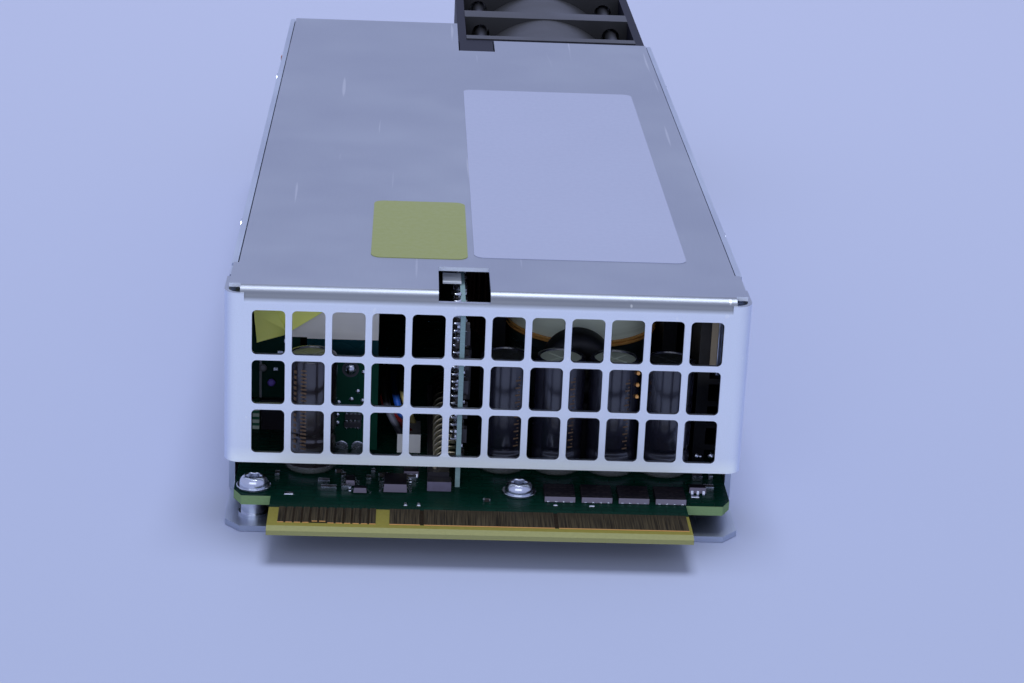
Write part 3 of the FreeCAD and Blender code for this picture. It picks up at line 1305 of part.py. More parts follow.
def wires():
    """Round wires whose straight runs are joined by arcs that touch both runs."""
    for label, route in WIRE_ROUTES.items():
        points = [Vector(*point) for point in route]
        edges, radii, start = [], [], points[0]
        for before, corner, after in zip(points, points[1:], points[2:]):
            back, onward = before - corner, after - corner
            reach = 0.45 * min(back.Length, onward.Length)
            half_turn = (math.pi - back.getAngle(onward)) / 2
            radii.append(reach / math.tan(half_turn))
            entry = corner + back.normalize() * reach
            leave = corner + onward.normalize() * reach
            inward = (entry + leave) / 2 - corner
            inward.normalize()
            middle = corner + inward * radii[-1] * (1 / math.cos(half_turn) - 1)
            edges.append(Part.LineSegment(start, entry).toShape())
            edges.append(Part.Arc(entry, middle, leave).toShape())
            start = leave
        edges.append(Part.LineSegment(start, points[-1]).toShape())
        spine = doc.addObject("Part::Feature", f"{label}_spine")
        spine.Shape = Part.Wire(edges)
        tie(spine, Placement__Base__x=PLUG_SIDES[0])
        section = doc.addObject("Part::Circle", f"{label}_section")
        tie(section, Radius=d.wire_radius)
        section.Placement.Rotation = Rotation(Vector(0, 0, 1), points[1] - points[0])
        tie(section, Placement__Base__x=PLUG_SIDES[0] + route[0][0], Placement__Base__y=route[0][1],
            Placement__Base__z=route[0][2])
        tube = doc.addObject("Part::Sweep", f"{label}_tube")
        tube.Sections = [section]
        tube.Spine = (spine, [f"Edge{index + 1}" for index in range(len(edges))])
        tube.Solid = True
        doc.recompute()
        expected = math.pi * d.wire_radius.number ** 2 * spine.Shape.Length
        print(f"{label}: length {spine.Shape.Length:.1f}, radii {min(radii):.1f} to {max(radii):.1f}, "
              f"volume {tube.Shape.Volume:.2f} for {expected:.2f}")
        keep(label, tube)


chassis()
top_cover()
main_board()
board_fixings()
edge_contacts()
capacitors()
control_card()
front_parts()
fan_cage()
fan_frame("fan_frame_inner", FAN_FRONT, True)
fan_frame("fan_frame_outer", FAN_FRONT + d.fan_depth, False)
fan_rotor("fan_rotor_inner", FAN_FRONT, True)
fan_rotor("fan_rotor_outer", FAN_FRONT + d.fan_depth, False)
fan_guard()
mains_inlet()
pull_handle()
release_latch()
status_lights()
side_screws()
main_transformer()
output_choke()
auxiliary_transformer()
upright_boards()
heat_sinks()
mains_side()
wire_plug()
wires()
doc.recompute()

faults = [f"{thing.Label}: {thing.State}" for thing in doc.Objects
          if "Invalid" in thing.State or "Error" in thing.State]
faults += [f"{label}: no valid shape" for label, thing in NODES.items()
           if thing.Shape.isNull() or not thing.Shape.isValid() or not thing.Shape.Solids]
if faults:
    raise SystemExit("faults:\n" + "\n".join(faults))

os.makedirs("parts", exist_ok=True)
for label, thing in NODES.items():
    thing.Shape.exportStep(f"parts/{label}.step")
    print(f"{label:24s} solids {len(thing.Shape.Solids):3d}  volume {thing.Shape.Volume:12.3f}")
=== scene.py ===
import bmesh
import bpy
import math
from mathutils import Matrix, Vector


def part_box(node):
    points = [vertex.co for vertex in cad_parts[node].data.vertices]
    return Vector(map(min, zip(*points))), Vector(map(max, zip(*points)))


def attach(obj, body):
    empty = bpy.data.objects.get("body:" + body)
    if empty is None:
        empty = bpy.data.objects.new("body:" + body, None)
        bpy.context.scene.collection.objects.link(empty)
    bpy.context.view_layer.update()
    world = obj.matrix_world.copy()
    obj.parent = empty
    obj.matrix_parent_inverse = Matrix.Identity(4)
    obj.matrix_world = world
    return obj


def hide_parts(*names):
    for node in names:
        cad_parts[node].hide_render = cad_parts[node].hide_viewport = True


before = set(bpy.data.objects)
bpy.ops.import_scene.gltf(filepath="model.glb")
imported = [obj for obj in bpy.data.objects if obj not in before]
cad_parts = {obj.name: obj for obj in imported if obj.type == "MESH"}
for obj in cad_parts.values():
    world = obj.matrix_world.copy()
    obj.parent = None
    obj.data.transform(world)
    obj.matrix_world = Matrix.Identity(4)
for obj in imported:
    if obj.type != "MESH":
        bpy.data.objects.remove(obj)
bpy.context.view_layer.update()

# ---------------------------------------------------------------- chassis
# Folded pan of one millimetre zinc plated sheet.  Its sheared edges are slightly rounded, and
# the two ears in front of the cover are rubbed where they slide into the bay.
MM = 0.001
STEEL = (0.55, 0.60, 0.69)


class Finish:
    """A procedural surface: one shader, varied by nodes that read the object's own space."""

    def __init__(self, name, colour, roughness, metallic=0.0):
        self.material = bpy.data.materials.new(name)
        self.material.use_nodes = True
        self.nodes = self.material.node_tree.nodes
        self.links = self.material.node_tree.links
        self.shader = self.nodes["Principled BSDF"]
        self.colour = colour
        self.give("Base Color", (*colour, 1.0))
        self.give("Roughness", roughness)
        self.give("Metallic", metallic)

    def fill(self, socket, value):
        if isinstance(value, bpy.types.NodeSocket):
            self.links.new(value, socket)
        elif value is not None:
            socket.default_value = value

    def give(self, socket, value):
        """Put a plain value or another node's output into a socket of the shader."""
        self.fill(self.shader.inputs[socket], value)

    def node(self, kind, *values, **settings):
        made = self.nodes.new("ShaderNode" + kind)
        for name, value in settings.items():
            setattr(made, name, value)
        for socket, value in zip(made.inputs, values):
            self.fill(socket, value)
        return made

    def space(self, stretch=(1, 1, 1), centre=(0, 0, 0)):
        """Object space in metres from a centre, stretched."""
        place = self.node("TexCoord").outputs["Object"]
        place = self.node("VectorMath", place, centre, operation="SUBTRACT").outputs[0]
        return self.node("Mapping", place, (0, 0, 0), (0, 0, 0), stretch).outputs[0]

    def axis(self, letter, centre=(0, 0, 0)):
        return self.node("SeparateXYZ", self.space(centre=centre)).outputs[letter]

    def facing(self, letter):
        """How far the surface looks along an axis, from -1 to 1."""
        return self.node("SeparateXYZ", self.node("NewGeometry").outputs["Normal"]).outputs[letter]

    def noise(self, scale, detail=3.0, stretch=(1, 1, 1)):
        made = self.node("TexNoise", self.space(stretch))
        made.inputs["Scale"].default_value = scale
        made.inputs["Detail"].default_value = detail
        return made.outputs[0]

    def math(self, operation, *values):
        return self.node("Math", *values, operation=operation).outputs[0]

    def remap(self, value, low, high, out_low=0.0, out_high=1.0):
        return self.node("MapRange", value, low, high, out_low, out_high).outputs[0]

    def mixed(self, factor, first, second):
        """Colour between two, each of which is a plain colour or an output."""
        made = self.node("Mix", data_type="RGBA")
        for place, value in ((0, factor), (6, first), (7, second)):
            self.fill(made.inputs[place], (*value, 1.0) if isinstance(value, tuple) else value)
        return made.outputs[2]

    def shaded(self, factor, amount, colour=None):
        """The colour, from darker to lighter by an amount as the factor runs from 0 to 1."""
        colour = colour or self.colour
        low = tuple(channel * (1 - amount) for channel in colour)
        high = tuple(min(1.0, channel * (1 + amount)) for channel in colour)
        return self.mixed(factor, low, high)

    def bump(self, height, depth, strength=1.0):
        made = self.node("Bump")
        made.inputs["Strength"].default_value = strength
        made.inputs["Distance"].default_value = depth
        self.fill(made.inputs["Height"], height)
        self.give("Normal", made.outputs[0])


def rolled_metal(name, colour, roughness, grain=(1, 0.03, 1), scratches=0.0, metallic=1.0, upward=1.0,
                 foot=None):
    """Sheet or drawn metal: fine lines along its grain, cloudy gloss and a few scratches.

    Faces that look up take the share upward of the colour as painted shade, folds into them are
    painted darker still as painted shade, and the front is painted paler below the height foot as
    painted light.
    """
    finish = Finish(name, colour, roughness, metallic)
    lines = finish.noise(5200, 2.0, grain)
    cloud = finish.noise(38, 3.0)
    tone = finish.math("ADD", finish.math("MULTIPLY", lines, 0.6), finish.math("MULTIPLY", cloud, 0.4))
    surface = finish.shaded(finish.remap(tone, 0.3, 0.7), 0.05)
    # Painted shade: faces that look up, and the folds into them, are painted darker.
    if upward != 1.0:
        level = finish.remap(finish.facing("Z"), 0.15, 0.55)
        on_top = tuple(c * upward for c in colour)
        surface = finish.mixed(level, surface, finish.shaded(tone, 0.05, on_top))
        fold = finish.math("MULTIPLY", finish.remap(finish.facing("Z"), 0.1, 0.4),
                           finish.remap(finish.facing("Z"), 0.999, 0.98))
        in_fold = tuple(c * upward * 0.5 for c in colour)
        surface = finish.mixed(fold, surface, finish.shaded(tone, 0.05, in_fold))
    # Painted light: the front is painted paler below the height foot.
    if foot is not None:
        finish.give("Metallic", finish.remap(finish.facing("Y"), -0.9, -0.5, 0.35, metallic))
        low = finish.remap(finish.axis("Z"), foot * 1.2, foot)
        low_front = finish.math("MULTIPLY", low, finish.remap(finish.facing("Y"), -0.5, -0.9))
        surface = finish.mixed(low_front, surface, finish.shaded(tone, 0.05, (0.88, 0.93, 1.0)))
    gloss = finish.remap(cloud, 0.3, 0.7, roughness - 0.05, roughness + 0.05)
    if scratches:
        marks = finish.noise(700, 1.0, (0.9, 0.03, 0.6))
        line = finish.remap(marks, 0.72, 0.76, 0.0, scratches)
        surface = finish.mixed(line, surface, tuple(min(1.0, channel * 1.35) for channel in colour))
        gloss = finish.math("SUBTRACT", gloss, finish.math("MULTIPLY", line, 0.14))
    finish.give("Base Color", surface)
    finish.give("Roughness", gloss)
    finish.bump(lines, 0.004 * MM, 0.5)
    return finish.material


def show(name, mesh, material=None):
    """Put a mesh, or a half-made one, into the scene as a piece with its finish."""
    if isinstance(mesh, bmesh.types.BMesh):
        half_made, mesh = mesh, bpy.data.meshes.new(name)
        half_made.to_mesh(mesh)
        half_made.free()
    piece = bpy.data.objects.new(name, mesh)
    bpy.context.scene.collection.objects.link(piece)
    if material:
        mesh.materials.clear()
        mesh.materials.append(material)
    return piece


def smooth(piece, degrees=35):
    """Round shading, with edges sharper than an angle kept crisp."""
    piece.data.shade_smooth()
    piece.data.set_sharp_from_angle(angle=math.radians(degrees))
    return piece


def mount(piece, slot, *nodes, body="housing"):
    """Fix a piece to a body, hiding the CAD nodes it stands for.  The slot is not used."""
    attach(piece, body)
    if nodes:
        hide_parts(*nodes)
    return piece


def dress(node, material):
    """Give a CAD node its finish."""
    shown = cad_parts[node]
    shown.data.materials.clear()
    shown.data.materials.append(material)


def eased(node, name, width, material, degrees=35):
    """Copy of a CAD node whose sharp edges are broken by a small bevel."""
    copy = bmesh.new()
    copy.from_mesh(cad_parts[node].data)
    bmesh.ops.remove_doubles(copy, verts=copy.verts, dist=0.002 * MM)
    bmesh.ops.dissolve_limit(copy, angle_limit=math.radians(0.5), verts=copy.verts, edges=copy.edges)
    piece = smooth(show(name, copy, material), degrees)
    edge = piece.modifiers.new("edge", "BEVEL")
    edge.width = width
    edge.segments = 2
    edge.limit_method = "ANGLE"
    edge.angle_limit = math.radians(degrees)
    edge.use_clamp_overlap = True
    edge.harden_normals = False
    flat = piece.modifiers.new("flat", "WEIGHTED_NORMAL")
    flat.keep_sharp = False
    return piece


pan_steel = rolled_metal("pan_steel", tuple(c * 0.92 for c in STEEL), 0.42, scratches=0.8)
pan = eased("chassis", "case_pan", 0.12 * MM, pan_steel)
mount(pan, "case_steel", "chassis")

# ---------------------------------------------------------------- stand-offs and board screws
# Round stand-offs are pressed into the floor.  Pan head screws with a six-lobed recess and a
# washer hold the board on them; both are bright zinc plated steel.
SCREW_LOBES = 6


class Pattern:
    """A Geometry Nodes tree that repeats its object's mesh; its sizes are named inputs."""

    def __init__(self, name, **sizes):
        self.group = bpy.data.node_groups.new(name, "GeometryNodeTree")
        face = self.group.interface
        face.new_socket(name="Mesh", in_out="INPUT", socket_type="NodeSocketGeometry")
        self.keys = {}
        for label, kind in (*sizes.items(), ("Finish", "Material")):
            socket = face.new_socket(name=label, in_out="INPUT", socket_type="NodeSocket" + kind)
            self.keys[label] = socket.identifier
        face.new_socket(name="Mesh", in_out="OUTPUT", socket_type="NodeSocketGeometry")
        self.start = self.group.nodes.new("NodeGroupInput").outputs

    def node(self, kind, settings=(), **inputs):
        """Add a node; an input's name has _ for each space, and a plain value is set on it."""
        made = self.group.nodes.new(kind)
        for name, value in dict(settings).items():
            setattr(made, name, value)
        for name, value in inputs.items():
            socket = next(s for s in made.inputs if s.name == name.replace("_", " ") and s.enabled)
            if isinstance(value, bpy.types.NodeSocket):
                self.group.links.new(value, socket)
            else:
                socket.default_value = value
        return made

    def end(self, instances):
        """Make the instances real, give them the finish and hand them out."""
        real = self.node("GeometryNodeRealizeInstances", Geometry=instances)
        painted = self.node("GeometryNodeSetMaterial", Geometry=real.outputs[0],
                            Material=self.start["Finish"])
        self.node("NodeGroupOutput", Mesh=painted.outputs[0])

    def make(self, name, unit, material, **values):
        """Run the tree on one unit and keep the result as a plain mesh."""
        holder = show(name + "_unit", unit, material)
        modifier = holder.modifiers.new("pattern", "NODES")
        modifier.node_group = self.group
        for label, value in (*values.items(), ("Finish", material)):
            modifier[self.keys[label]] = value
        seen = holder.evaluated_get(bpy.context.evaluated_depsgraph_get())
        mesh = bpy.data.meshes.new_from_object(seen)
        holder.modifiers.remove(modifier)
        bpy.data.objects.remove(holder)
        return show(name, mesh, material)


def grid_pattern():
    """Units set out in columns and rows from a first place."""
    tree = Pattern("rows_and_columns", Columns="Int", Rows="Int", First="Vector", Column_step="Vector",
                   Row_step="Vector")
    start = tree.start
    columns = tree.node("GeometryNodeMeshLine", Count=start["Columns"], Start_Location=start["First"],
                        Offset=start["Column_step"])
    rows = tree.node("GeometryNodeMeshLine", Count=start["Rows"], Offset=start["Row_step"])
    crossed = tree.node("GeometryNodeInstanceOnPoints", Points=columns.outputs[0], Instance=rows.outputs[0])
    points = tree.node("GeometryNodeRealizeInstances", Geometry=crossed.outputs[0])
    placed = tree.node("GeometryNodeInstanceOnPoints", Points=points.outputs[0], Instance=start["Mesh"])
    tree.end(placed.outputs[0])
    return tree


GRID = grid_pattern()


def in_rows(name, unit, material, first, columns=1, across=(0, 0, 0), rows=1, along=(0, 0, 0)):
    """Repeat a unit in columns and rows; all places are in millimetres."""
    return GRID.make(name, unit, material, Columns=columns, Rows=rows,
                     First=[v * MM for v in first], Column_step=[v * MM for v in across],
                     Row_step=[v * MM for v in along])


def turned(profile, segments=32, lobes=0):
    """Lathe a profile of (radius, height) round Z; a third number cuts lobes that deep."""
    shape = bmesh.new()
    rings = []
    for point in profile:
        radius, height = point[0] * MM, point[1] * MM
        if radius == 0:
            rings.append([shape.verts.new((0, 0, height))])
            continue
        depth = point[2] if len(point) > 2 else 0.0
        ring = []
        for step in range(segments):
            angle = math.tau * step / segments
            here = radius * (1 + depth * math.cos(lobes * angle))
            ring.append(shape.verts.new((here * math.cos(angle), here * math.sin(angle), height)))
        rings.append(ring)
    for low, high in zip(rings, rings[1:]):
        for step in range(segments):
            after = (step + 1) % segments
            corners = [low[step % len(low)], low[after % len(low)], high[after % len(high)],
                       high[step % len(high)]]
            shape.faces.new(list(dict.fromkeys(corners)))
    bmesh.ops.recalc_face_normals(shape, faces=shape.faces)
    return shape


def extent(node):
    """Low and high corner of a CAD node, in millimetres."""
    return tuple(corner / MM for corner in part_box(node))


def merged(name, *pieces):
    """One piece from several that share their finish."""
    whole = bmesh.new()
    for piece in pieces:
        whole.from_mesh(piece.data)
    made = show(name, whole, pieces[0].data.materials[0])
    for piece in pieces:
        bpy.data.objects.remove(piece)
    return made


bright_zinc = rolled_metal("bright_zinc", (0.66, 0.69, 0.75), 0.22, grain=(1, 1, 0.1))
dress("board_standoffs", bright_zinc)
screw_profile = [(0, 0), (2.75, 0), (2.85, 0.1), (2.85, 0.42), (2.75, 0.5), (2.35, 0.5), (2.35, 0.62),
                 (2.3, 1.1), (2.12, 1.5), (1.85, 1.8), (1.55, 1.96), (1.38, 1.98), (1.28, 1.94, 0.12),
                 (1.2, 1.75, 0.15), (1.14, 0.62, 0.15), (0, 0.55)]
screw_reach, screw_rise = 2.8, 2.0
screw_low, screw_high = extent("board_screws")
screw_left, screw_right = screw_low.x + screw_reach, screw_high.x - screw_reach
screw_front, screw_rear = screw_low.y + screw_reach, screw_high.y - screw_reach
board_top = screw_high.z - screw_rise
screw_rows = (("front", screw_front, 43.95), ("rear", screw_rear, screw_right - screw_left))


def at_screws(name, unit, material):
    """Put a unit on each of the four board screws."""
    return merged(name, *(in_rows(f"{row}_{name}", unit.copy(), material, (screw_left, y, board_top),
                                  columns=2, across=(apart, 0, 0)) for row, y, apart in screw_rows))


board_screws = at_screws("pan_head_screws", turned(screw_profile, 48, SCREW_LOBES), bright_zinc)
mount(smooth(board_screws), "bright_steel", "board_screws")
# Painted shade: a dark disc sits in each screw's recess.
recess_shade = Finish("screw_recess", (0.02, 0.02, 0.024), 0.5)
recess_shade.give("Base Color", recess_shade.shaded(recess_shade.noise(3000), 0.3))
recess_disc = turned([(0, 0.75), (1.05, 0.75), (1.05, 0.8), (0, 0.8)], 24)
mount(at_screws("screw_recesses", recess_disc, recess_shade.material), "black_moulding")

# ---------------------------------------------------------------- main board
# Glass fibre laminate.  Green solder mask lies over copper tracks and pours, and stops a few
# millimetres past the shoulders, where the bare yellow card edge tongue begins.
contact_low, contact_high = extent("edge_contacts")
mask_end = contact_high.y - 0.2


def dashes_in_rows(finish, colours, **sizes):
    """Rows of dashes in two colours on a third, with the sizes of a brick pattern."""
    made = finish.node("TexBrick", finish.space())
    for label, value in sizes.items():
        made.inputs[label.replace("_", " ")].default_value = value
    for label, colour in zip(("Color1", "Color2", "Mortar"), colours):
        made.inputs[label].default_value = (*colour, 1)
    return made


def board_finish(name, colour, edge_colour, laminate=None, tongue_from=None, face="Y"):
    """Solder mask over tracks; the sawn edges, and the tongue if there is one, are bare."""
    finish = Finish(name, colour, 0.3)
    tracks = dashes_in_rows(finish, ((0.2, 0.2, 0.2), (0.9, 0.9, 0.9), (0, 0, 0)), Scale=210.0,
                            Mortar_Size=0.035, Mortar_Smooth=0.25, Bias=0.3, Brick_Width=0.9,
                            Row_Height=0.31)
    pours = finish.remap(finish.noise(95, 1.0), 0.5, 0.53)
    copper = finish.math("MULTIPLY", tracks.outputs[0], finish.remap(pours, 0, 1, 0.35, 1.0))
    mask = finish.mixed(copper, tuple(c * 0.8 for c in colour), tuple(c * 1.15 for c in colour))
    flat = finish.math("GREATER_THAN", finish.math("ABSOLUTE", finish.facing(face)), 0.7)
    weave = finish.noise(1500, 2.0, (1, 1, 4))
    surface = finish.mixed(flat, finish.shaded(weave, 0.18, edge_colour), mask)
    gloss = finish.remap(flat, 0, 1, 0.6, 0.26)
    if tongue_from is not None:
        bare = finish.math("LESS_THAN", finish.axis("Y"), tongue_from * MM)
        surface = finish.mixed(bare, surface, finish.shaded(weave, 0.12, laminate))
        gloss = finish.math("MAXIMUM", gloss, finish.math("MULTIPLY", bare, 0.4))
        level = finish.math("MULTIPLY", bare, finish.math("ABSOLUTE", finish.facing("Z")))
        bevel = finish.math("MULTIPLY", bare, finish.math("LESS_THAN", level, 0.97))
        surface = finish.mixed(bevel, surface, finish.shaded(weave, 0.1, (0.25, 0.25, 0.115)))
        # Painted shade: the bare laminate between the contacts is painted near black.
        behind = finish.math("GREATER_THAN", finish.axis("Y"), (contact_low.y + 0.1) * MM)
        for left, right in ((contact_low.x + 0.3, contact_low.x + 15.0),
                            (contact_low.x + 20.0, contact_high.x - 0.3)):
            inside = finish.math("LESS_THAN", finish.math("ABSOLUTE", finish.axis(
                "X", ((left + right) / 2 * MM, 0, 0))), (right - left) / 2 * MM)
            zone = finish.math("MULTIPLY", level, finish.math("MULTIPLY", inside, behind))
            surface = finish.mixed(zone, surface, (0.016, 0.010, 0.005))
    finish.give("Base Color", surface)
    finish.give("Roughness", gloss)
    finish.give("Specular IOR Level", 0.03)
    finish.bump(tracks.outputs[0], 0.03 * MM, 0.6)
    return finish.material


dress("main_board", board_finish("board_mask", (0.002, 0.022, 0.015), (0.17, 0.26, 0.13),
                                 (0.20, 0.175, 0.04), mask_end, face="Z"))

# ---------------------------------------------------------------- card edge contacts
# Hard gold over nickel on copper, brushed along the tongue by many matings, and painted much darker
# as painted shade.  The front end of each contact still shines, where the plating bar was milled away.
gold = Finish("edge_gold", (0.034, 0.029, 0.020), 0.5)
gold.give("Specular IOR Level", 0.02)
streaks = gold.noise(5200, 2.0, (1, 0.02, 1))
# Painted shade: both colours of the brushed gold are painted dark.
brushed_in_shade = gold.mixed(gold.remap(streaks, 0.35, 0.65), (0.012, 0.009, 0.006), (0.058, 0.046, 0.030))
along = gold.axis("Y", (0, contact_low.y * MM, 0))
short_finger = gold.math("ABSOLUTE", gold.axis("X", ((contact_low.x + 6.6) * MM, 0, 0)))
set_back = gold.math("LESS_THAN", short_finger, 1.1 * MM)
front = gold.math("SUBTRACT", along, gold.math("MULTIPLY", set_back, 0.6 * MM))
shine = gold.math("LESS_THAN", front, 0.2 * MM)
gold.give("Base Color", gold.mixed(shine, brushed_in_shade, (0.48, 0.26, 0.10)))
gold.give("Roughness", gold.remap(streaks, 0.3, 0.7, 0.3, 0.5))
gold.bump(streaks, 0.004 * MM)
dress("edge_contacts", gold.material)

# ---------------------------------------------------------------- output transistors
# Four flat moulded packages in a row at the front edge, with short tinned leads at the foot of
# the front and rear faces and rows of faint plain marks on top.


def block(shape, low, high, draft=0.0, ease=0.0):
    """Add a block between two corners in millimetres; its upper half may lean in."""
    made = bmesh.ops.create_cube(shape, size=1.0)["verts"]
    middle = [(a + b) / 2 for a, b in zip(low, high)]
    for vert in made:
        lean = draft if vert.co.z > 0 else 0.0
        size = [b - a for a, b in zip(low, high)]
        size = (size[0] - 2 * lean, size[1] - 2 * lean, size[2])
        vert.co = Vector(m + c * s for m, c, s in zip(middle, vert.co, size)) * MM
    if ease:
        edges = list({edge for vert in made for edge in vert.link_edges})
        bmesh.ops.bevel(shape, geom=edges, offset=ease * MM, segments=2, affect="EDGES", profile=0.7)
    return shape


def moulded(name, colour, roughness=0.5, grain=2600, depth=0.006):
    """Moulded plastic: fine spark texture, slightly cloudy colour and gloss."""
    finish = Finish(name, colour, roughness)
    fine = finish.noise(grain, 2.0)
    cloud = finish.noise(60, 2.0)
    finish.give("Base Color", finish.shaded(cloud, 0.18))
    finish.give("Roughness", finish.remap(cloud, 0.3, 0.7, roughness - 0.06, roughness + 0.08))
    finish.bump(fine, depth * MM)
    return finish.material


def lead(shape, foot, knee, width, thickness, height, gap):
    """Add one gull wing lead: flat foot, sloping leg and shoulder that enters the package."""
    run = Vector(knee) - Vector(foot)
    side = Vector((-run.y, run.x, 0)).normalized() * width / 2
    path = [(0.0, gap), (0.45, gap), (0.7, height), (1.05, height)]
    loops = []
    for along, rise in path:
        middle = Vector(foot) + run * along
        loops.append([shape.verts.new((middle + offset + Vector((0, 0, rise + lift))) * MM)
                      for offset, lift in ((-side, 0), (side, 0), (side, thickness), (-side, thickness))])
    for first, second in zip(loops, loops[1:]):
        for corner in range(4):
            after = (corner + 1) % 4
            shape.faces.new((first[corner], first[after], second[after], second[corner]))
    shape.faces.new(loops[0][::-1])
    shape.faces.new(loops[-1])
    bmesh.ops.recalc_face_normals(shape, faces=shape.faces)


def tinned(name, colour=(0.72, 0.74, 0.78)):
    """Solder and tinned copper: bright, softly dented."""
    finish = Finish(name, colour, 0.24, metallic=1.0)
    dents = finish.noise(900, 3.0)
    finish.give("Base Color", finish.shaded(dents, 0.12))
    finish.give("Roughness", finish.remap(dents, 0.3, 0.7, 0.16, 0.34))
    finish.bump(dents, 0.03 * MM, 0.5)
    return finish.material


epoxy = moulded("package_epoxy", (0.022, 0.021, 0.030), 0.38)
tin = tinned("tinned_leads")
package_finish = Finish("transistor_epoxy", (0.018, 0.016, 0.024), 0.36)
marks = dashes_in_rows(package_finish, ((0.007, 0.006, 0.009), (0.030, 0.025, 0.027), (0.006, 0.005, 0.008)),
                       Scale=620.0, Mortar_Size=0.2, Mortar_Smooth=0.4, Brick_Width=1.1, Row_Height=0.5)
# Painted light: the front faces are painted paler than the black epoxy.
front_face = package_finish.remap(package_finish.facing("Y"), -0.4, -0.9)
package_finish.give("Base Color", package_finish.mixed(front_face, marks.outputs[0], (0.20, 0.185, 0.265)))
package_finish.give("Specular IOR Level", 0.08)
package_finish.give("Roughness", package_finish.remap(package_finish.noise(1800), 0.3, 0.7, 0.3, 0.5))
packages = eased("power_transistors", "transistor_packages", 0.08 * MM, package_finish.material)
mount(packages, "black_moulding", "power_transistors")
lead_set = eased("transistor_leads", "transistor_lead_set", 0.05 * MM, tin)
mount(lead_set, "bright_steel", "transistor_leads")

# ---------------------------------------------------------------- small parts at the front edge
# Surface-mounted parts around the screws: a driver chip with side leads, resistors and ceramic
# capacitors with tinned ends, and small leaded transistors and diodes.
chip_bodies, chip_leads, ceramic_bodies, tin_ends = (bmesh.new() for _ in range(4))


def small_chip(x, y, width, depth, height, pins, side_pins=True):
    """Leaded package centred on x and y, with pins along its left and right, or front and back."""
    top = board_top
    block(chip_bodies, (x - width / 2, y - depth / 2, top + 0.1),
          (x + width / 2, y + depth / 2, top + height), 0.1, 0.05)
    run = depth if side_pins else width
    for step in range(pins):
        at = (step + 0.5) * run / pins - run / 2
        for side in (-1, 1):
            reach = (width if side_pins else depth) / 2
            foot, knee = side * (reach + 0.75), side * reach
            ends = [(x + foot, y + at, top), (x + knee, y + at, top)]
            if not side_pins:
                ends = [(x + at, y + foot, top), (x + at, y + knee, top)]
            lead(chip_leads, *ends, 0.4, 0.16, height * 0.45, 0.02)


def passive(x, y, length, width, height, along_x):
    """Chip resistor or capacitor: a body between two tinned ends."""
    size = (length, width) if along_x else (width, length)
    low = (x - size[0] / 2, y - size[1] / 2)
    end = 0.17 * length
    for start in (0, length - end):
        shift = (start, 0) if along_x else (0, start)
        span = (end, width) if along_x else (width, end)
        block(tin_ends, (low[0] + shift[0], low[1] + shift[1], board_top),
              (low[0] + shift[0] + span[0], low[1] + shift[1] + span[1], board_top + height), 0, 0.05)
    inner = 0.04
    shift = (end, inner) if along_x else (inner, end)
    span = (length - 2 * end, width - 2 * inner) if along_x else (width - 2 * inner, length - 2 * end)
    block(ceramic_bodies, (low[0] + shift[0], low[1] + shift[1], board_top),
          (low[0] + shift[0] + span[0], low[1] + shift[1] + span[1], board_top + height - 0.03))


small_chip(-14.5, 0.4, 3.9, 4.9, 1.5, 4)
small_chip(-22.0, 1.6, 1.6, 2.6, 1.0, 2)
small_chip(-20.3, -2.0, 2.2, 1.3, 0.95, 1)
small_chip(36.06, 1.4, 2.9, 1.7, 1.1, 3, side_pins=False)
small_chip(-11.9, 5.8, 2.6, 2.0, 1.0, 3, side_pins=False)
for x, y, length, width, height, along_x in (
        (-25.5, -1.5, 1.1, 2.6, 0.8, False), (-26.4, 1.0, 1.0, 2.0, 0.9, False),
        (-23.2, 4.4, 1.6, 0.8, 0.5, False), (-19.0, 3.6, 1.6, 0.8, 0.5, False),
        (-16.6, 4.9, 1.6, 0.8, 0.6, True), (-11.9, 3.5, 1.2, 1.7, 0.8, False),
        (-22.6, -1.0, 0.9, 1.6, 0.8, False), (38.0, 2.0, 1.4, 1.7, 1.0, False),
        (36.6, 6.6, 1.3, 1.7, 1.0, False), (38.9, 6.9, 0.8, 0.7, 0.8, False),
        (-34.3, 4.6, 1.6, 0.8, 0.5, False), (0.6, -4.6, 1.2, 0.7, 0.45, True),
        (-24.0, 6.2, 1.4, 0.8, 0.5, True), (-18.3, 6.4, 1.2, 0.7, 0.6, False)):
    passive(x, y, length, width, height, along_x)
for x, y, width, depth in ((-32.0, -3.2, 1.5, 1.1), (-12.75, -6.6, 0.55, 1.1), (-10.6, -6.6, 0.55, 1.1),
                           (35.5, -0.7, 1.4, 0.7), (11.9, -5.6, 0.7, 0.3), (17.9, -5.6, 0.9, 0.3)):
    block(tin_ends, (x - width / 2, y - depth / 2, board_top),
          (x + width / 2, y + depth / 2, board_top + 0.12), 0.1)
chip_epoxy = Finish("small_chip_epoxy", (0.007, 0.006, 0.009), 0.36)
chip_epoxy.give("Specular IOR Level", 0.1)
# Painted light: the front faces are painted paler than the black epoxy.
chip_front = chip_epoxy.remap(chip_epoxy.facing("Y"), -0.4, -0.9)
chip_epoxy.give("Base Color", chip_epoxy.mixed(chip_front, chip_epoxy.shaded(chip_epoxy.noise(60), 0.2),
                                               (0.15, 0.135, 0.20)))
chip_epoxy.bump(chip_epoxy.noise(2600), 0.006 * MM)
mount(smooth(show("small_chips", chip_bodies, chip_epoxy.material)), "black_moulding")
mount(smooth(show("small_chip_leads", chip_leads, tin)), "bright_steel")
ceramic = moulded("chip_ceramic", (0.022, 0.018, 0.018), 0.5)
mount(smooth(show("chip_part_bodies", ceramic_bodies, ceramic)), "black_moulding")
mount(smooth(show("chip_part_ends", tin_ends, tin)), "bright_steel")

# ---------------------------------------------------------------- electrolytic capacitors
# Radial aluminium cans in shrink sleeves.  The can is rolled in over its rubber seal, the sleeve
# wraps its rim, and the bare top is scored so that it can vent.


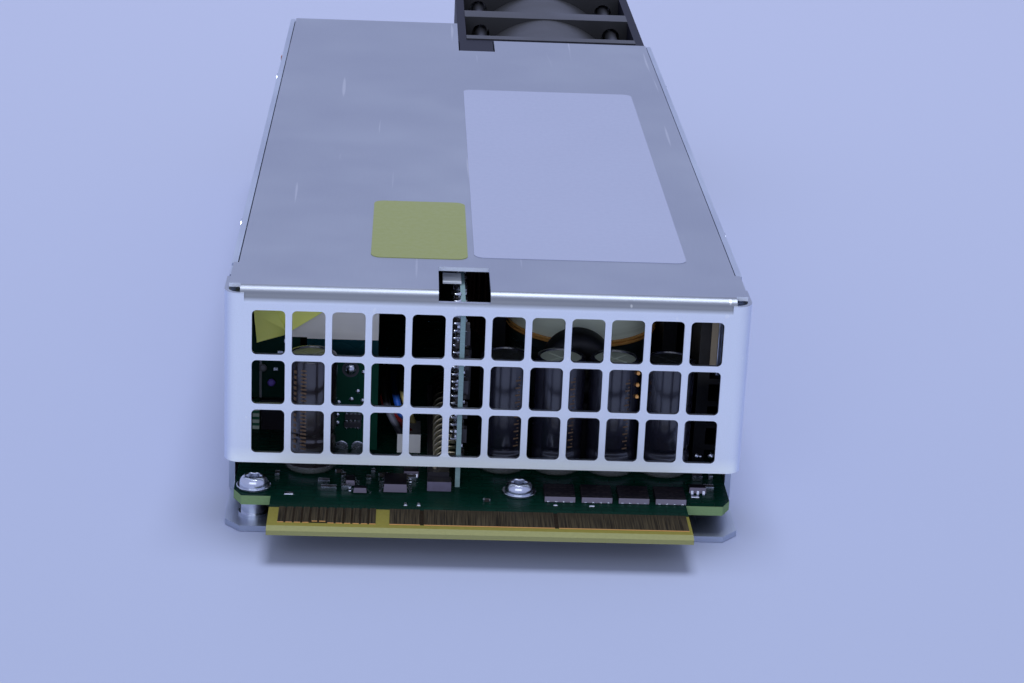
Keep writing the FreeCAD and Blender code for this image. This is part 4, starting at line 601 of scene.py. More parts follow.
def sleeve(name, colour):
    """Glossy shrink sleeve: faint upright pull lines, and a little dust."""
    finish = Finish(name, colour, 0.24)
    pulls = finish.noise(1400, 2.0, (1, 1, 0.05))
    dust = finish.noise(240, 4.0)
    finish.give("Base Color", finish.shaded(pulls, 0.25))
    finish.give("Roughness", finish.remap(dust, 0.35, 0.7, 0.16, 0.28))
    finish.give("Specular IOR Level", 0.9)
    finish.give("Coat Weight", 0.45)
    finish.give("Coat Roughness", 0.26)
    finish.bump(pulls, 0.012 * MM, 0.5)
    return finish.material


def tilted(shape, degrees, letter):
    """Turn a half-made mesh about an axis."""
    shape.transform(Matrix.Rotation(math.radians(degrees), 4, letter))
    return shape


def add(shape, part):
    """Add a half-made mesh to another."""
    kept = bpy.data.meshes.new("part")
    part.to_mesh(kept)
    part.free()
    shape.from_mesh(kept)
    bpy.data.meshes.remove(kept)


def can_profile(radius, height, groove):
    """Outline of a sleeved can from its seal to the sunk top."""
    low = groove * height
    return [(0, 0.15), (radius - 0.5, 0.15), (radius - 0.2, 0.35), (radius - 0.02, 0.9), (radius, 1.5),
            (radius, low - 0.9), (radius - 0.08, low - 0.55), (radius - 0.32, low), (radius - 0.08, low + 0.55),
            (radius, low + 0.9), (radius, height - 0.55), (radius - 0.12, height - 0.2),
            (radius - 0.42, height), (radius - 0.75, height - 0.02), (radius - 0.85, height - 0.25)]


def can_top(radius, height):
    """Bare aluminium top with its vent scored as a cross of grooves."""
    shape = bmesh.new()
    bmesh.ops.create_circle(shape, cap_ends=True, segments=40, radius=(radius - 0.8) * MM)
    top = height - 0.26
    for face in list(shape.faces):
        made = bmesh.ops.extrude_face_region(shape, geom=[face])
        bmesh.ops.translate(shape, verts=[v for v in made["geom"] if isinstance(v, bmesh.types.BMVert)],
                            vec=(0, 0, 0.2 * MM))
    for turn in (45, 135):
        add(shape, tilted(block(bmesh.new(), (-radius + 1.6, -0.16, 0.2), (radius - 1.6, 0.16, 0.28), 0.05),
                          turn, "Z"))
    bmesh.ops.translate(shape, verts=shape.verts, vec=(0, 0, (top - 0.2) * MM))
    bmesh.ops.recalc_face_normals(shape, faces=shape.faces)
    return shape


navy = sleeve("navy_sleeve", (0.008, 0.008, 0.016))
umber = sleeve("umber_sleeve", (0.012, 0.009, 0.011))

# The tops at the front are painted dark, as painted shade of the cover.  Those before the pale tape
# and the yellow film take a painted reflection of their colour.
can_radius, can_pitch = 4.3, 9.2
can_metal = Finish("bare_aluminium", (0.70, 0.74, 0.72), 0.35, metallic=0.4)
can_grain = can_metal.noise(1100, 2.0)
at_front = can_metal.math("LESS_THAN", can_metal.axis("Y"), 20 * MM)
beside_tape = can_metal.math("LESS_THAN", can_metal.math("ABSOLUTE", can_metal.axis("X", (17.3 * MM, 0, 0))),
                             can_pitch * MM)
under_film = can_metal.math("LESS_THAN", can_metal.axis("X"), -20 * MM)
# Painted shade at the front, and painted reflections of the tape and the film.
shade = can_metal.mixed(at_front, can_metal.shaded(can_grain, 0.08), (0.035, 0.038, 0.038))
for place, tint in ((beside_tape, (0.60, 0.66, 0.56)), (under_film, (0.34, 0.35, 0.25))):
    shade = can_metal.mixed(can_metal.math("MULTIPLY", place, at_front), shade, tint)
can_metal.give("Base Color", shade)
can_metal.bump(can_grain, 0.01 * MM)
rim_metal = rolled_metal("rolled_rim", (0.80, 0.77, 0.86), 0.2, (1, 1, 0.1), 0.0, 0.92)


def can_row(name, node, radius, groove, finish, count=1, step=(0, 0, 0)):
    """Sleeved cans in a row, each with its bare top, in place of one CAD node."""
    low, high = extent(node)
    height = high.z - low.z
    first = (low.x + radius, low.y + radius, low.z)
    cans = in_rows(name, turned(can_profile(radius, height, groove), 48), finish, first, count, step)
    mount(smooth(cans, 50), "sleeve_navy", node)
    tops = in_rows(name + "_tops", can_top(radius, height), can_metal.material, first, count, step)
    mount(smooth(tops), "aluminium")
    rim = turned([(radius - 0.6, 0.1), (radius - 0.15, 0.2), (radius + 0.03, 0.6), (radius + 0.04, 1.3),
                  (radius - 0.1, 1.3)], 48)
    mount(smooth(in_rows(name + "_rims", rim, rim_metal, first, count, step), 60), "aluminium")
    return first


output_first = can_row("output_cans", "output_capacitors", can_radius, 0.22, navy, 4, (can_pitch, 0, 0))
left_first = can_row("left_can", "left_capacitor", can_radius, 0.32, umber)
bulk_radius = 11.0
bulk_low, bulk_high = extent("bulk_capacitors")
can_row("bulk_cans", "bulk_capacitors", bulk_radius, 0.12, navy, 2,
        (0, bulk_high.y - bulk_low.y - 2 * bulk_radius, 0))

# Plain dashes stand in for the sleeve's print, in two upright columns on each can.
dash_gold = Finish("sleeve_print", (0.115, 0.072, 0.045), 0.5)
dash_gold.give("Base Color", dash_gold.shaded(dash_gold.noise(2400, 2.0), 0.35))


def dash(radius, turn, width, height):
    """Short curved patch that lies on a can's sleeve."""
    shape = bmesh.new()
    steps = 4
    rows = []
    for level in (0, height):
        row = []
        for step in range(steps + 1):
            angle = math.radians(turn) + (step / steps - 0.5) * width / radius
            place = Vector((math.cos(angle) * radius, math.sin(angle) * radius, level))
            row.append(shape.verts.new(place * MM))
        rows.append(row)
    for step in range(steps):
        shape.faces.new((rows[0][step], rows[0][step + 1], rows[1][step + 1], rows[1][step]))
    return shape


# name, first can, cans, turn in degrees, rows, and then pitch, width, height and rise
for name, first, count, turn, rows, pitch, width, height, rise in (
        ("output_print_wide", output_first, 4, -62, 10, 1.3, 0.95, 0.26, 5.2),
        ("output_print_narrow", output_first, 4, -59, 10, 1.3, 0.35, 0.2, 5.8),
        ("left_print_narrow", left_first, 1, -126, 15, 0.95, 0.55, 0.55, 4.6),
        ("left_print_wide", left_first, 1, -105, 22, 0.66, 1.0, 0.3, 4.6)):
    dashes = in_rows(name, dash(can_radius + 0.02, turn, width, height), dash_gold.material,
                     (first[0], first[1], first[2] + rise), count, (can_pitch, 0, 0), rows, (0, 0, pitch))
    mount(dashes, "contact_gold")

# ---------------------------------------------------------------- control card
# A second board stands edge on behind the front.  Both faces are crowded with small tinned
# parts, and a right-angle header joins it to the main board.
dress("control_card", board_finish("card_mask", (0.006, 0.030, 0.026), (0.19, 0.28, 0.31), face="X"))
dress("card_chips", epoxy)
header_nylon = Finish("header_nylon", (0.012, 0.011, 0.015), 0.45)
# Painted light: the front of the header's nose is painted paler than the black nylon.
header_front = header_nylon.math("MULTIPLY", header_nylon.remap(header_nylon.facing("Y"), -0.4, -0.9),
                                 header_nylon.math("LESS_THAN", header_nylon.axis("Y"), 0.0))
pits = header_nylon.noise(1500, 3.0)
header_nylon.give("Base Color", header_nylon.mixed(header_front, (0.012, 0.011, 0.015), header_nylon.shaded(
    pits, 0.25, (0.11, 0.10, 0.165))))
header_nylon.bump(pits, 0.03 * MM)
dress("pin_header", header_nylon.material)
header_low = extent("pin_header")[0]
header_nose = block(bmesh.new(), (header_low.x - 0.05, header_low.y - 2.3, header_low.z),
                    (header_low.x + 3.95, header_low.y, header_low.z + 1.7), 0, 0.1)
mount(smooth(show("header_nose", header_nose, header_nylon.material)), "black_moulding")
pin_gold = Finish("header_gold", (0.84, 0.74, 0.48), 0.3, metallic=1.0)
# Painted shade: the pins are painted dark towards the back.
pins_rear_shade = pin_gold.remap(pin_gold.axis("Y"), 19 * MM, 31 * MM)
pin_gold.give("Base Color", pin_gold.mixed(pins_rear_shade, pin_gold.shaded(pin_gold.noise(900), 0.15),
                                           (0.012, 0.009, 0.006)))
pins = smooth(eased("header_pins", "angled_pins", 0.12 * MM, pin_gold.material), 50)
mount(pins, "contact_gold", "header_pins")


def scatter_pattern():
    """Small units thrown over a patch, kept apart from each other, square to its edges."""
    tree = Pattern("scattered_parts", Spacing="Float", Density="Float", Seed="Int", Smallest="Vector",
                   Largest="Vector")
    start = tree.start
    points = tree.node("GeometryNodeDistributePointsOnFaces", {"distribute_method": "POISSON"},
                       Mesh=start["Mesh"], Distance_Min=start["Spacing"], Density_Max=start["Density"],
                       Seed=start["Seed"])
    size = tree.node("FunctionNodeRandomValue", {"data_type": "FLOAT_VECTOR"}, Min=start["Smallest"],
                     Max=start["Largest"], Seed=start["Seed"])
    cube = tree.node("GeometryNodeMeshCube")
    placed = tree.node("GeometryNodeInstanceOnPoints", Points=points.outputs[0], Instance=cube.outputs[0],
                       Scale=size.outputs[0])
    tree.end(placed.outputs[0])
    return tree


SCATTER = scatter_pattern()


def crowded(name, corners, material, spacing, density, seed, smallest, largest):
    """Small square parts over a flat patch; sizes and places are in millimetres."""
    patch = bmesh.new()
    patch.faces.new([patch.verts.new(Vector(corner) * MM) for corner in corners])
    return SCATTER.make(name, patch, material, Spacing=spacing * MM, Density=density * 1e6, Seed=seed,
                        Smallest=[v * MM for v in smallest], Largest=[v * MM for v in largest])


card_low, card_high = extent("control_card")
for side, x in (("left", card_low.x), ("right", card_high.x)):
    low_z = card_low.z + (7.0 if side == "left" else 3.0)
    face = [(x, card_low.y + 0.6, low_z), (x, card_high.y - 1, low_z), (x, card_high.y - 1, card_high.z - 0.8),
            (x, card_low.y + 0.6, card_high.z - 0.8)]
    bits = crowded(f"card_{side}_tin", face, tin, 1.4, 0.5, 7 + len(side), (0.4, 0.4, 0.3), (1.0, 0.7, 0.6))
    mount(bits, "bright_steel")
    bits = crowded(f"card_{side}_bodies", face, ceramic, 2.2, 0.2, 3 + len(side),
                   (0.8, 0.9, 0.6), (1.5, 1.6, 1.2))
    mount(bits, "black_moulding")

# A row of soldered pin ends stands out of the card's left face just behind its front edge, and a
# bare white tag is tucked in beside its upper corner.
pin_end = tilted(turned([(0, -0.1), (0.42, 0), (0.2, 0.45), (0.16, 1.0), (0, 1.05)], 12), -90, "Y")
mount(smooth(in_rows("card_pin_ends", pin_end, tin, (card_low.x, card_low.y + 1.6, card_low.z + 8.0), 2,
                     (0, 1.9, 0.6), 20, (0, 0, 1.27))), "bright_steel")
white_paper = moulded("white_paper", (0.62, 0.65, 0.74), 0.5)
tag = block(bmesh.new(), (card_low.x - 2.9, card_low.y + 12.0, card_high.z + 0.2),
            (card_low.x + 0.2, card_low.y + 17.0, card_high.z + 0.5))
mount(show("card_tag", tag, white_paper), "nylon_white")

# ---------------------------------------------------------------- output choke
# Ring of powder iron with a thick black coat that rounds its edges, upright in its moulded seat.


def ring_pattern():
    """Units set round a circle, each turned to face its centre."""
    tree = Pattern("round_a_circle", Count="Int", Radius="Float", Centre="Vector")
    start = tree.start
    circle = tree.node("GeometryNodeMeshCircle", Vertices=start["Count"], Radius=start["Radius"])
    index = tree.node("GeometryNodeInputIndex")
    part = tree.node("ShaderNodeMath", {"operation": "DIVIDE"})
    tree.group.links.new(index.outputs[0], part.inputs[0])
    tree.group.links.new(start["Count"], part.inputs[1])
    angle = tree.node("ShaderNodeMath", {"operation": "MULTIPLY"})
    tree.group.links.new(part.outputs[0], angle.inputs[0])
    angle.inputs[1].default_value = math.tau
    turn = tree.node("ShaderNodeCombineXYZ", Z=angle.outputs[0])
    placed = tree.node("GeometryNodeInstanceOnPoints", Points=circle.outputs[0], Instance=start["Mesh"],
                       Rotation=turn.outputs[0])
    moved = tree.node("GeometryNodeTransform", Geometry=placed.outputs[0], Translation=start["Centre"])
    tree.end(moved.outputs[0])
    return tree


RING = ring_pattern()


def round_circle(name, unit, material, count, radius, centre):
    """Repeat a unit round a level circle; the sizes are in millimetres."""
    return RING.make(name, unit, material, Count=count, Radius=radius * MM, Centre=[v * MM for v in centre])


def tube(shape, points, radius, sides=8, closed=False):
    """Add a round wire along points in millimetres."""
    count = len(points)
    rings = []
    up = None
    for index, point in enumerate(points):
        before = Vector(points[index - 1] if closed or index else points[0])
        after = Vector(points[(index + 1) % count] if closed or index < count - 1 else points[-1])
        along = (after - before).normalized()
        if up is None:
            up = along.orthogonal().normalized()
        up = (up - along * up.dot(along)).normalized()
        side = along.cross(up)
        ring = []
        for step in range(sides):
            angle = math.tau * step / sides
            out = (up * math.cos(angle) + side * math.sin(angle)) * radius
            ring.append(shape.verts.new((Vector(point) + out) * MM))
        rings.append(ring)
    pairs = list(zip(rings, rings[1:])) + ([(rings[-1], rings[0])] if closed else [])
    for first, second in pairs:
        for step in range(sides):
            after = (step + 1) % sides
            shape.faces.new((first[step], first[after], second[after], second[step]))
    if not closed:
        shape.faces.new(rings[0][::-1])
        shape.faces.new(rings[-1])
    bmesh.ops.recalc_face_normals(shape, faces=shape.faces)
    return shape


def turn_of_wire(width, height, wire, rounding):
    """One closed turn in the XZ plane round a block: a rectangle with rounded corners."""
    half_x, half_z = width / 2 + wire, height / 2 + wire
    points = []
    for centre_x, centre_z, start in ((half_x - rounding, half_z - rounding, 0),
                                      (-half_x + rounding, half_z - rounding, 90),
                                      (-half_x + rounding, -half_z + rounding, 180),
                                      (half_x - rounding, -half_z + rounding, 270)):
        for step in range(4):
            angle = math.radians(start + 30 * step)
            points.append((centre_x + rounding * math.cos(angle), 0, centre_z + rounding * math.sin(angle)))
    return tube(bmesh.new(), points, wire, closed=True)


copper = Finish("enamelled_copper", (1.0, 0.44, 0.14), 0.26, metallic=0.2)
copper_lines = copper.noise(1300, 2.0)
copper.give("Base Color", copper.shaded(copper_lines, 0.25))
copper.give("Coat Weight", 0.5)
copper.bump(copper_lines, 0.02 * MM, 0.4)
black_coat = moulded("black_coating", (0.004, 0.004, 0.005), 0.5, 900, 0.05)
choke_low, choke_high = extent("output_choke")
sunk, wall, ease = 0.7, 4.0, 1.9
choke_radius, choke_half = (choke_high.x - choke_low.x) / 2 - sunk, (choke_high.y - choke_low.y) / 2
bore = choke_radius - wall
section = [(bore, choke_half - ease)]
for centre, start in ((bore + ease, 180), (choke_radius - ease, 90)):
    for step in range(7):
        angle = math.radians(start - 15 * step)
        section.append((centre + ease * math.cos(angle), choke_half - ease + ease * math.sin(angle)))
section += [(radius, -height) for radius, height in reversed(section)]
section.append(section[0])
ring = turned(section, 64)
choke_middle = (choke_low + choke_high) / 2 - Vector((0, 0, sunk))
ring.transform(Matrix.Translation(choke_middle * MM) @ Matrix.Rotation(math.radians(90), 4, "X"))
mount(smooth(show("coated_ring", ring, black_coat), 60), "ferrite", "output_choke")
black_plastic = moulded("black_moulding", (0.010, 0.010, 0.013), 0.46)
dress("choke_seat", black_plastic)

# ---------------------------------------------------------------- main transformer
# Ferrite core plates above and below a round bobbin.  Pale polyester tape covers the upper
# winding, and the secondary is a loop of thick copper strands round its outside.
ferrite = moulded("ferrite", (0.005, 0.005, 0.006), 0.5, 1500, 0.02)
dress("transformer_core", ferrite)
bobbin = Finish("bobbin_tape", (0.80, 0.88, 0.80), 0.35)
bobbin_low, bobbin_high = extent("transformer_bobbin")
loop_height = 21.5
wraps = bobbin.noise(900, 2.0, (0.05, 0.05, 1))
above = bobbin.math("GREATER_THAN", bobbin.axis("Z"), loop_height * MM)
bobbin.give("Base Color", bobbin.mixed(above, bobbin.shaded(wraps, 0.3, (0.02, 0.03, 0.035)),
                                       bobbin.shaded(wraps, 0.1)))
bobbin.give("Roughness", bobbin.remap(wraps, 0.3, 0.7, 0.26, 0.42))
bobbin.bump(wraps, 0.05 * MM)
dress("transformer_bobbin", bobbin.material)
bobbin_middle = (bobbin_low + bobbin_high) / 2
bobbin_radius = (bobbin_high.x - bobbin_low.x) / 2
loop = bmesh.new()
strand = 0.3
for layer in range(2):
    circle = []
    for step in range(72):
        angle = math.tau * step / 72
        out = bobbin_radius + strand + 0.05 + 0.1 * math.sin(3 * angle + layer)
        rise = loop_height + (layer - 0.5) * 2 * strand * 0.98 + 0.15 * math.sin(2 * angle + layer)
        circle.append((bobbin_middle.x + out * math.cos(angle), bobbin_middle.y + out * math.sin(angle), rise))
    tube(loop, circle, strand, closed=True)
mount(smooth(show("copper_loop", loop, copper.material), 60), "contact_gold")

# Three cut ends of its copper strands come forward beside the third can.
strand_ends = tilted(turned([(0, -0.5), (0.3, -0.5), (0.32, 0), (0.25, 0.1), (0, 0.14)], 16), 90, "X")
first_end = (output_first[0] + 22.15, output_first[1] - 2.8, 20.0)
mount(smooth(in_rows("copper_ends", strand_ends, copper.material, first_end, rows=3, along=(0, 0, 2.1))),
      "contact_gold")

# ---------------------------------------------------------------- auxiliary transformer
# Small flyback transformer: a teal coil former under a core wrapped in grey-white tape, with a
# folded flag of yellow insulating film held beside it.
former = moulded("teal_former", (0.004, 0.035, 0.048), 0.25, 700, 0.06)
dress("auxiliary_coil", former)
tape = Finish("grey_tape", (0.76, 0.74, 0.76), 0.4)
folds = tape.noise(420, 2.0, (0.1, 0.1, 1))
tape.give("Base Color", tape.shaded(folds, 0.12))
tape.bump(folds, 0.06 * MM)
dress("auxiliary_core", tape.material)
film = Finish("yellow_film", (0.90, 0.98, 0.24), 0.25)
ripple = film.noise(140, 2.0)
film.give("Base Color", film.shaded(ripple, 0.12))
film.bump(ripple, 0.2 * MM, 0.5)
aux_low, aux_high = extent("auxiliary_core")
flag = bmesh.new()
flag_points = [(-39.6, 21.2, 31.5), (-36.8, 20.6, 31.5), (-34.1, 21.2, 31.3), (-34.0, 21.3, 25.5),
               (-34.2, 21.4, 24.6), (-38.9, 21.2, 23.1), (-39.4, 21.2, 28.4), (-34.1, 20.2, 26.0),
               (-33.0, 20.6, 25.6), (-27.0, 21.2, 29.4), (-26.6, 21.4, 32.6), (-33.0, 21.0, 31.8)]
verts = [flag.verts.new(Vector(point) * MM) for point in flag_points]
for corners in ((0, 1, 7, 6), (1, 2, 3, 7), (6, 7, 4, 5), (2, 11, 8, 3), (11, 10, 9, 8), (3, 8, 7), (7, 8, 4)):
    flag.faces.new([verts[corner] for corner in corners])
bmesh.ops.recalc_face_normals(flag, faces=flag.faces)
flag_piece = show("insulating_film", flag, film.material)
curve = flag_piece.modifiers.new("curve", "SUBSURF")
curve.levels = curve.render_levels = 3
curve.subdivision_type = "SIMPLE"
flag_piece.modifiers.new("wall", "SOLIDIFY").thickness = 0.12 * MM
mount(flag_piece, "tape_pale")
tape_end = block(bmesh.new(), (-33.9, aux_low.y - 0.15, 23.7),
                 (aux_low.x + 0.2, aux_low.y - 0.05, aux_high.z - 0.4))
mount(show("tape_end", tape_end, tape.material), "tape_pale")

# ---------------------------------------------------------------- small upright boards
# A sensing board with large solder joints stands across the case beside the card, and another
# stands on the relay behind the left capacitor.
dress("sensing_board", board_finish("sensing_mask", (0.006, 0.040, 0.028), (0.02, 0.06, 0.04)))
dress("relay_board", board_finish("relay_mask", (0.006, 0.032, 0.026), (0.02, 0.06, 0.04)))
dress("relay", moulded("relay_case", (0.012, 0.010, 0.015), 0.38))
solder = tinned("solder", (0.78, 0.80, 0.84))
sense_low = extent("sensing_board")[0]
joints = bmesh.new()
for x, z, radius, flat in ((-22.66, 20.4, 0.95, 0.5), (-20.4, 19.9, 0.45, 0.5), (-21.35, 16.4, 0.45, 0.5),
                           (-22.4, 14.9, 0.48, 0.5), (-20.5, 14.7, 0.42, 0.5), (-23.1, 9.6, 0.3, 0.4),
                           (-21.2, 9.6, 0.3, 0.4), (-24.0, 6.0, 1.2, 0.06), (-21.2, 6.0, 1.2, 0.06),
                           (-24.65, 14.2, 0.5, 0.3), (-24.8, 11.9, 0.45, 0.3), (-24.8, 10.4, 0.5, 0.3),
                           (-26.6, 20.6, 0.35, 0.4), (-29.4, 19.0, 0.4, 0.4)):
    dome = bmesh.new()
    bmesh.ops.create_uvsphere(dome, u_segments=20, v_segments=10, radius=radius * MM)
    dome.transform(Matrix.Diagonal((1, flat, 1, 1)))
    dome.transform(Matrix.Translation(Vector((x, sense_low.y, z)) * MM))
    add(joints, dome)
mount(smooth(show("sensing_solder", joints, solder), 80), "bright_steel")
pad_ring = tilted(turned([(1.0, 0), (1.45, 0), (1.45, 0.05), (1.0, 0.05)], 28), 90, "X")
mount(in_rows("sensing_pad_rings", pad_ring, epoxy, (-22.66, sense_low.y, 20.4)), "black_moulding")
sensing_chips = bmesh.new()
for x, z, width, height in ((-22.0, 11.9, 2.9, 1.0), (-22.1, 10.5, 2.9, 1.0),
                            (-29.0, 12.0, 2.4, 1.6), (-28.5, 9.0, 2.0, 1.0)):
    block(sensing_chips, (x - width / 2, sense_low.y - 0.8, z - height / 2),
          (x + width / 2, sense_low.y, z + height / 2))
mount(show("sensing_chips", sensing_chips, epoxy), "black_moulding")
chip_feet = bmesh.new()
for x in (-23.1, -22.4, -21.7, -21.0):
    for z in (12.45, 11.2, 9.9):
        block(chip_feet, (x - 0.18, sense_low.y - 0.5, z - 0.16), (x + 0.18, sense_low.y, z + 0.16))
mount(show("sensing_chip_feet", chip_feet, tin), "bright_steel")
relay_low, relay_high = extent("relay_board")
left, right, low, high = relay_low.x + 2.6, relay_high.x - 1, relay_low.z + 1, relay_high.z - 1
face = [(x, relay_low.y, z) for x, z in ((left, low), (right, low), (right, high), (left, high))]
bits = crowded("relay_board_parts", face, tin, 2.4, 0.2, 12, (0.5, 0.4, 0.4), (1.2, 0.7, 0.8))
mount(bits, "bright_steel")
violet = moulded("violet_bead", (0.16, 0.10, 0.52), 0.3)
grey_bead = moulded("grey_bead", (0.16, 0.165, 0.19), 0.4)
bead = tilted(turned([(0, 0), (0.4, 0.05), (0.65, 0.4), (0.7, 0.7), (0.5, 1.0), (0, 1.1)], 24), 90, "X")
mount(smooth(in_rows("violet_bead", bead.copy(), violet, (-36.6, relay_low.y, 14.2))), "wire_blue")
mount(smooth(in_rows("grey_bead", bead, grey_bead, (-38.1, relay_low.y, 16.9))), "wire_grey")
strip = block(bmesh.new(), (-38.7, relay_low.y - 0.5, 11.3), (-38.3, relay_low.y, 18.3))
mount(show("clear_strip", strip, grey_bead), "light_clear")

# The socket beside the relay is moulded in pale nylon round a row of green leaf contacts.
socket_nylon = Finish("socket_nylon", (0.46, 0.54, 0.50), 0.45)
leaf = socket_nylon.math("FRACT", socket_nylon.math("MULTIPLY", socket_nylon.axis("Z"), 1 / (1.15 * MM)))
leaf = socket_nylon.remap(leaf, 0.5, 0.62)
socket_nylon.give("Base Color", socket_nylon.mixed(leaf, socket_nylon.shaded(socket_nylon.noise(900), 0.1),
                                                   (0.02, 0.12, 0.07)))
dress("side_socket", socket_nylon.material)

# ---------------------------------------------------------------- heat sinks and transistors
# Extruded aluminium against the right wall with black transistors clipped to it, and a flat
# plate amidships that cools the bridge rectifier.
dress("primary_heat_sink", rolled_metal("extruded_aluminium", (0.66, 0.67, 0.70), 0.35, grain=(1, 0.04, 1)))
anodised = Finish("black_anodised", (0.003, 0.003, 0.004), 0.4)
anodised.give("Specular IOR Level", 0.12)
# Painted light: the upper part of the black plate is painted lighter.
upper_half = anodised.remap(anodised.axis("Z"), 20.5 * MM, 24 * MM)
anodised.give("Base Color", anodised.mixed(upper_half, anodised.colour,
                                           anodised.shaded(anodised.noise(400), 0.2, (0.032, 0.030, 0.030))))
anodised.bump(anodised.noise(1400, 2.0, (1, 0.04, 1)), 0.01 * MM)
dress("output_heat_sink", anodised.material)
sink_finish = Finish("sink_epoxy", (0.004, 0.004, 0.005), 0.5)
sink_finish.give("Specular IOR Level", 0.15)
sink_finish.bump(sink_finish.noise(2600), 0.006 * MM)
for node in ("rectifier_transistors", "bridge_rectifier"):
    dress(node, sink_finish.material)
sink_low = extent("output_heat_sink")[0]
tan_tape = moulded("tan_tape", (0.36, 0.29, 0.20), 0.4)
strips = block(bmesh.new(), (38.0, sink_low.y - 0.45, 23.5), (39.1, sink_low.y - 0.3, 33.6))
mount(show("tan_insulator", strips, tan_tape), "tape_pale")
strips = block(bmesh.new(), (39.15, sink_low.y - 0.7, 23.0), (39.8, sink_low.y - 0.3, 33.8), 0, 0.1)
mount(smooth(show("clip_strip", strips, bright_zinc)), "bright_steel")
joints = bmesh.new()
for x, z, radius in ((36.9, 7.9, 0.5), (37.6, 7.8, 0.3), (39.4, 8.0, 0.6)):
    bmesh.ops.create_uvsphere(joints, u_segments=16, v_segments=8, radius=radius * MM,
                              matrix=Matrix.Translation(Vector((x, sink_low.y, z)) * MM))
mount(smooth(show("sink_solder", joints, solder), 80), "bright_steel")

# ---------------------------------------------------------------- mains side
# Wound boost and filter chokes, a yellow suppression capacitor and a ceramic fuse between the
# bulk capacitors and the inlet.
dress("boost_choke", black_coat)
dress("line_filter", moulded("filter_former", (0.03, 0.03, 0.032), 0.45))
dress("suppression_capacitor", moulded("yellow_case", (0.62, 0.46, 0.07), 0.4))
dress("fuse", moulded("fuse_ceramic", (0.70, 0.69, 0.66), 0.35))
boost_low, boost_high = extent("boost_choke")
boost_middle = (boost_low + boost_high) / 2
winding = turn_of_wire(9.0, boost_high.z - boost_low.z - 0.8, 0.4, 1.2)
dark_enamel = moulded("dark_enamel", (0.020, 0.009, 0.006), 0.28, 1300, 0.02)
mount(smooth(round_circle("boost_winding", winding, dark_enamel, 40, 10.5, boost_middle), 60), "contact_gold")
filter_low, filter_high = extent("line_filter")
winding = turn_of_wire(filter_high.y - filter_low.y, filter_high.z - filter_low.z - 0.9, 0.36, 1.2)
winding = tilted(winding, 90, "Z")
middle = (filter_low + filter_high) / 2
mount(smooth(in_rows("filter_winding", winding, dark_enamel, (filter_low.x + 1.2, middle.y, middle.z), 24,
                     (0.84, 0, 0)), 60), "contact_gold")
fuse_low, fuse_high = extent("fuse")
cap = tilted(turned([(0, -0.1), (2.45, -0.1), (2.68, 0.1), (2.68, 4.4), (2.6, 4.5), (0, 4.5)], 32), 90, "Y")
middle = (fuse_low + fuse_high) / 2
mount(smooth(in_rows("fuse_caps", cap, bright_zinc, (fuse_low.x, middle.y, middle.z), 2, (15.6, 0, 0))),
      "bright_steel")

# ---------------------------------------------------------------- fans
# Two 40 mm fans in line, turning opposite ways, inside a moulded cage; a wire finger guard and
# four long screws close the end.
fan_plastic = moulded("fan_plastic", (0.022, 0.022, 0.026), 0.42)
blade_plastic = moulded("blade_plastic", (0.030, 0.030, 0.034), 0.34)
for node in ("fan_frame_inner", "fan_frame_outer"):
    dress(node, fan_plastic)
for node in ("fan_rotor_inner", "fan_rotor_outer"):
    dress(node, blade_plastic)
cage_plastic = Finish("cage_plastic", (0.005, 0.005, 0.013), 0.5)
cage_plastic.give("Specular IOR Level", 0.15)
cage_plastic.bump(cage_plastic.noise(2600), 0.008 * MM)
cage = eased("fan_cage", "cage_moulding", 0.25 * MM, cage_plastic.material)
mount(cage, "black_moulding", "fan_cage")
dress("fan_guard", rolled_metal("guard_wire", (0.62, 0.64, 0.68), 0.3, grain=(1, 1, 1)))
dress("fan_screws", rolled_metal("black_screws", (0.10, 0.10, 0.11), 0.35, grain=(1, 0.1, 1)))

# ---------------------------------------------------------------- rear panel
# Mains inlet with nickel plated blades, an upright pull handle, the release latch on its pin and
# three light pipes.
inlet = eased("inlet_socket", "inlet_moulding", 0.3 * MM, black_plastic)
mount(inlet, "black_moulding", "inlet_socket")
nickel = rolled_metal("nickel", (0.66, 0.63, 0.56), 0.25, (1, 0.05, 1))
mount(eased("inlet_blades", "inlet_pins", 0.4 * MM, nickel), "inlet_metal", "inlet_blades")
handle_plastic = moulded("handle_plastic", (0.030, 0.031, 0.036), 0.42)
handle = eased("pull_handle", "handle_moulding", 0.9 * MM, handle_plastic)
mount(handle, "black_moulding", "pull_handle")
latch_plastic = moulded("latch_plastic", (0.36, 0.10, 0.05), 0.4)
latch = eased("release_latch", "latch_moulding", 0.3 * MM, latch_plastic)
mount(latch, "latch_plastic", "release_latch", body="latch")
for node in ("latch_bracket", "latch_spring", "latch_pin"):
    dress(node, bright_zinc)
lens = Finish("light_pipe", (0.62, 0.80, 0.66), 0.18)
lens.give("Base Color", lens.shaded(lens.noise(700, 2.0), 0.1))
lens.give("Transmission Weight", 0.45)
dress("status_lights", lens.material)
dress("light_board", board_finish("light_mask", (0.012, 0.080, 0.045), (0.40, 0.50, 0.22)))

# ---------------------------------------------------------------- cover
# One sheet, punched, bent down at the front and back along both sides.  The punched edges are
# eased by the plating, and four flat screws hold its lips to the walls.
# The top and its folds are painted darker as painted shade, and the foot of the front is painted paler as
# painted light.
cover_steel = rolled_metal("cover_steel", (0.74, 0.79, 0.92), 0.4, scratches=0.25, metallic=0.9, upward=0.515,
                           foot=10.4 * MM)
cover = eased("top_cover", "punched_cover", 0.14 * MM, cover_steel)
mount(cover, "case_steel", "top_cover")
dress("side_screws", bright_zinc)

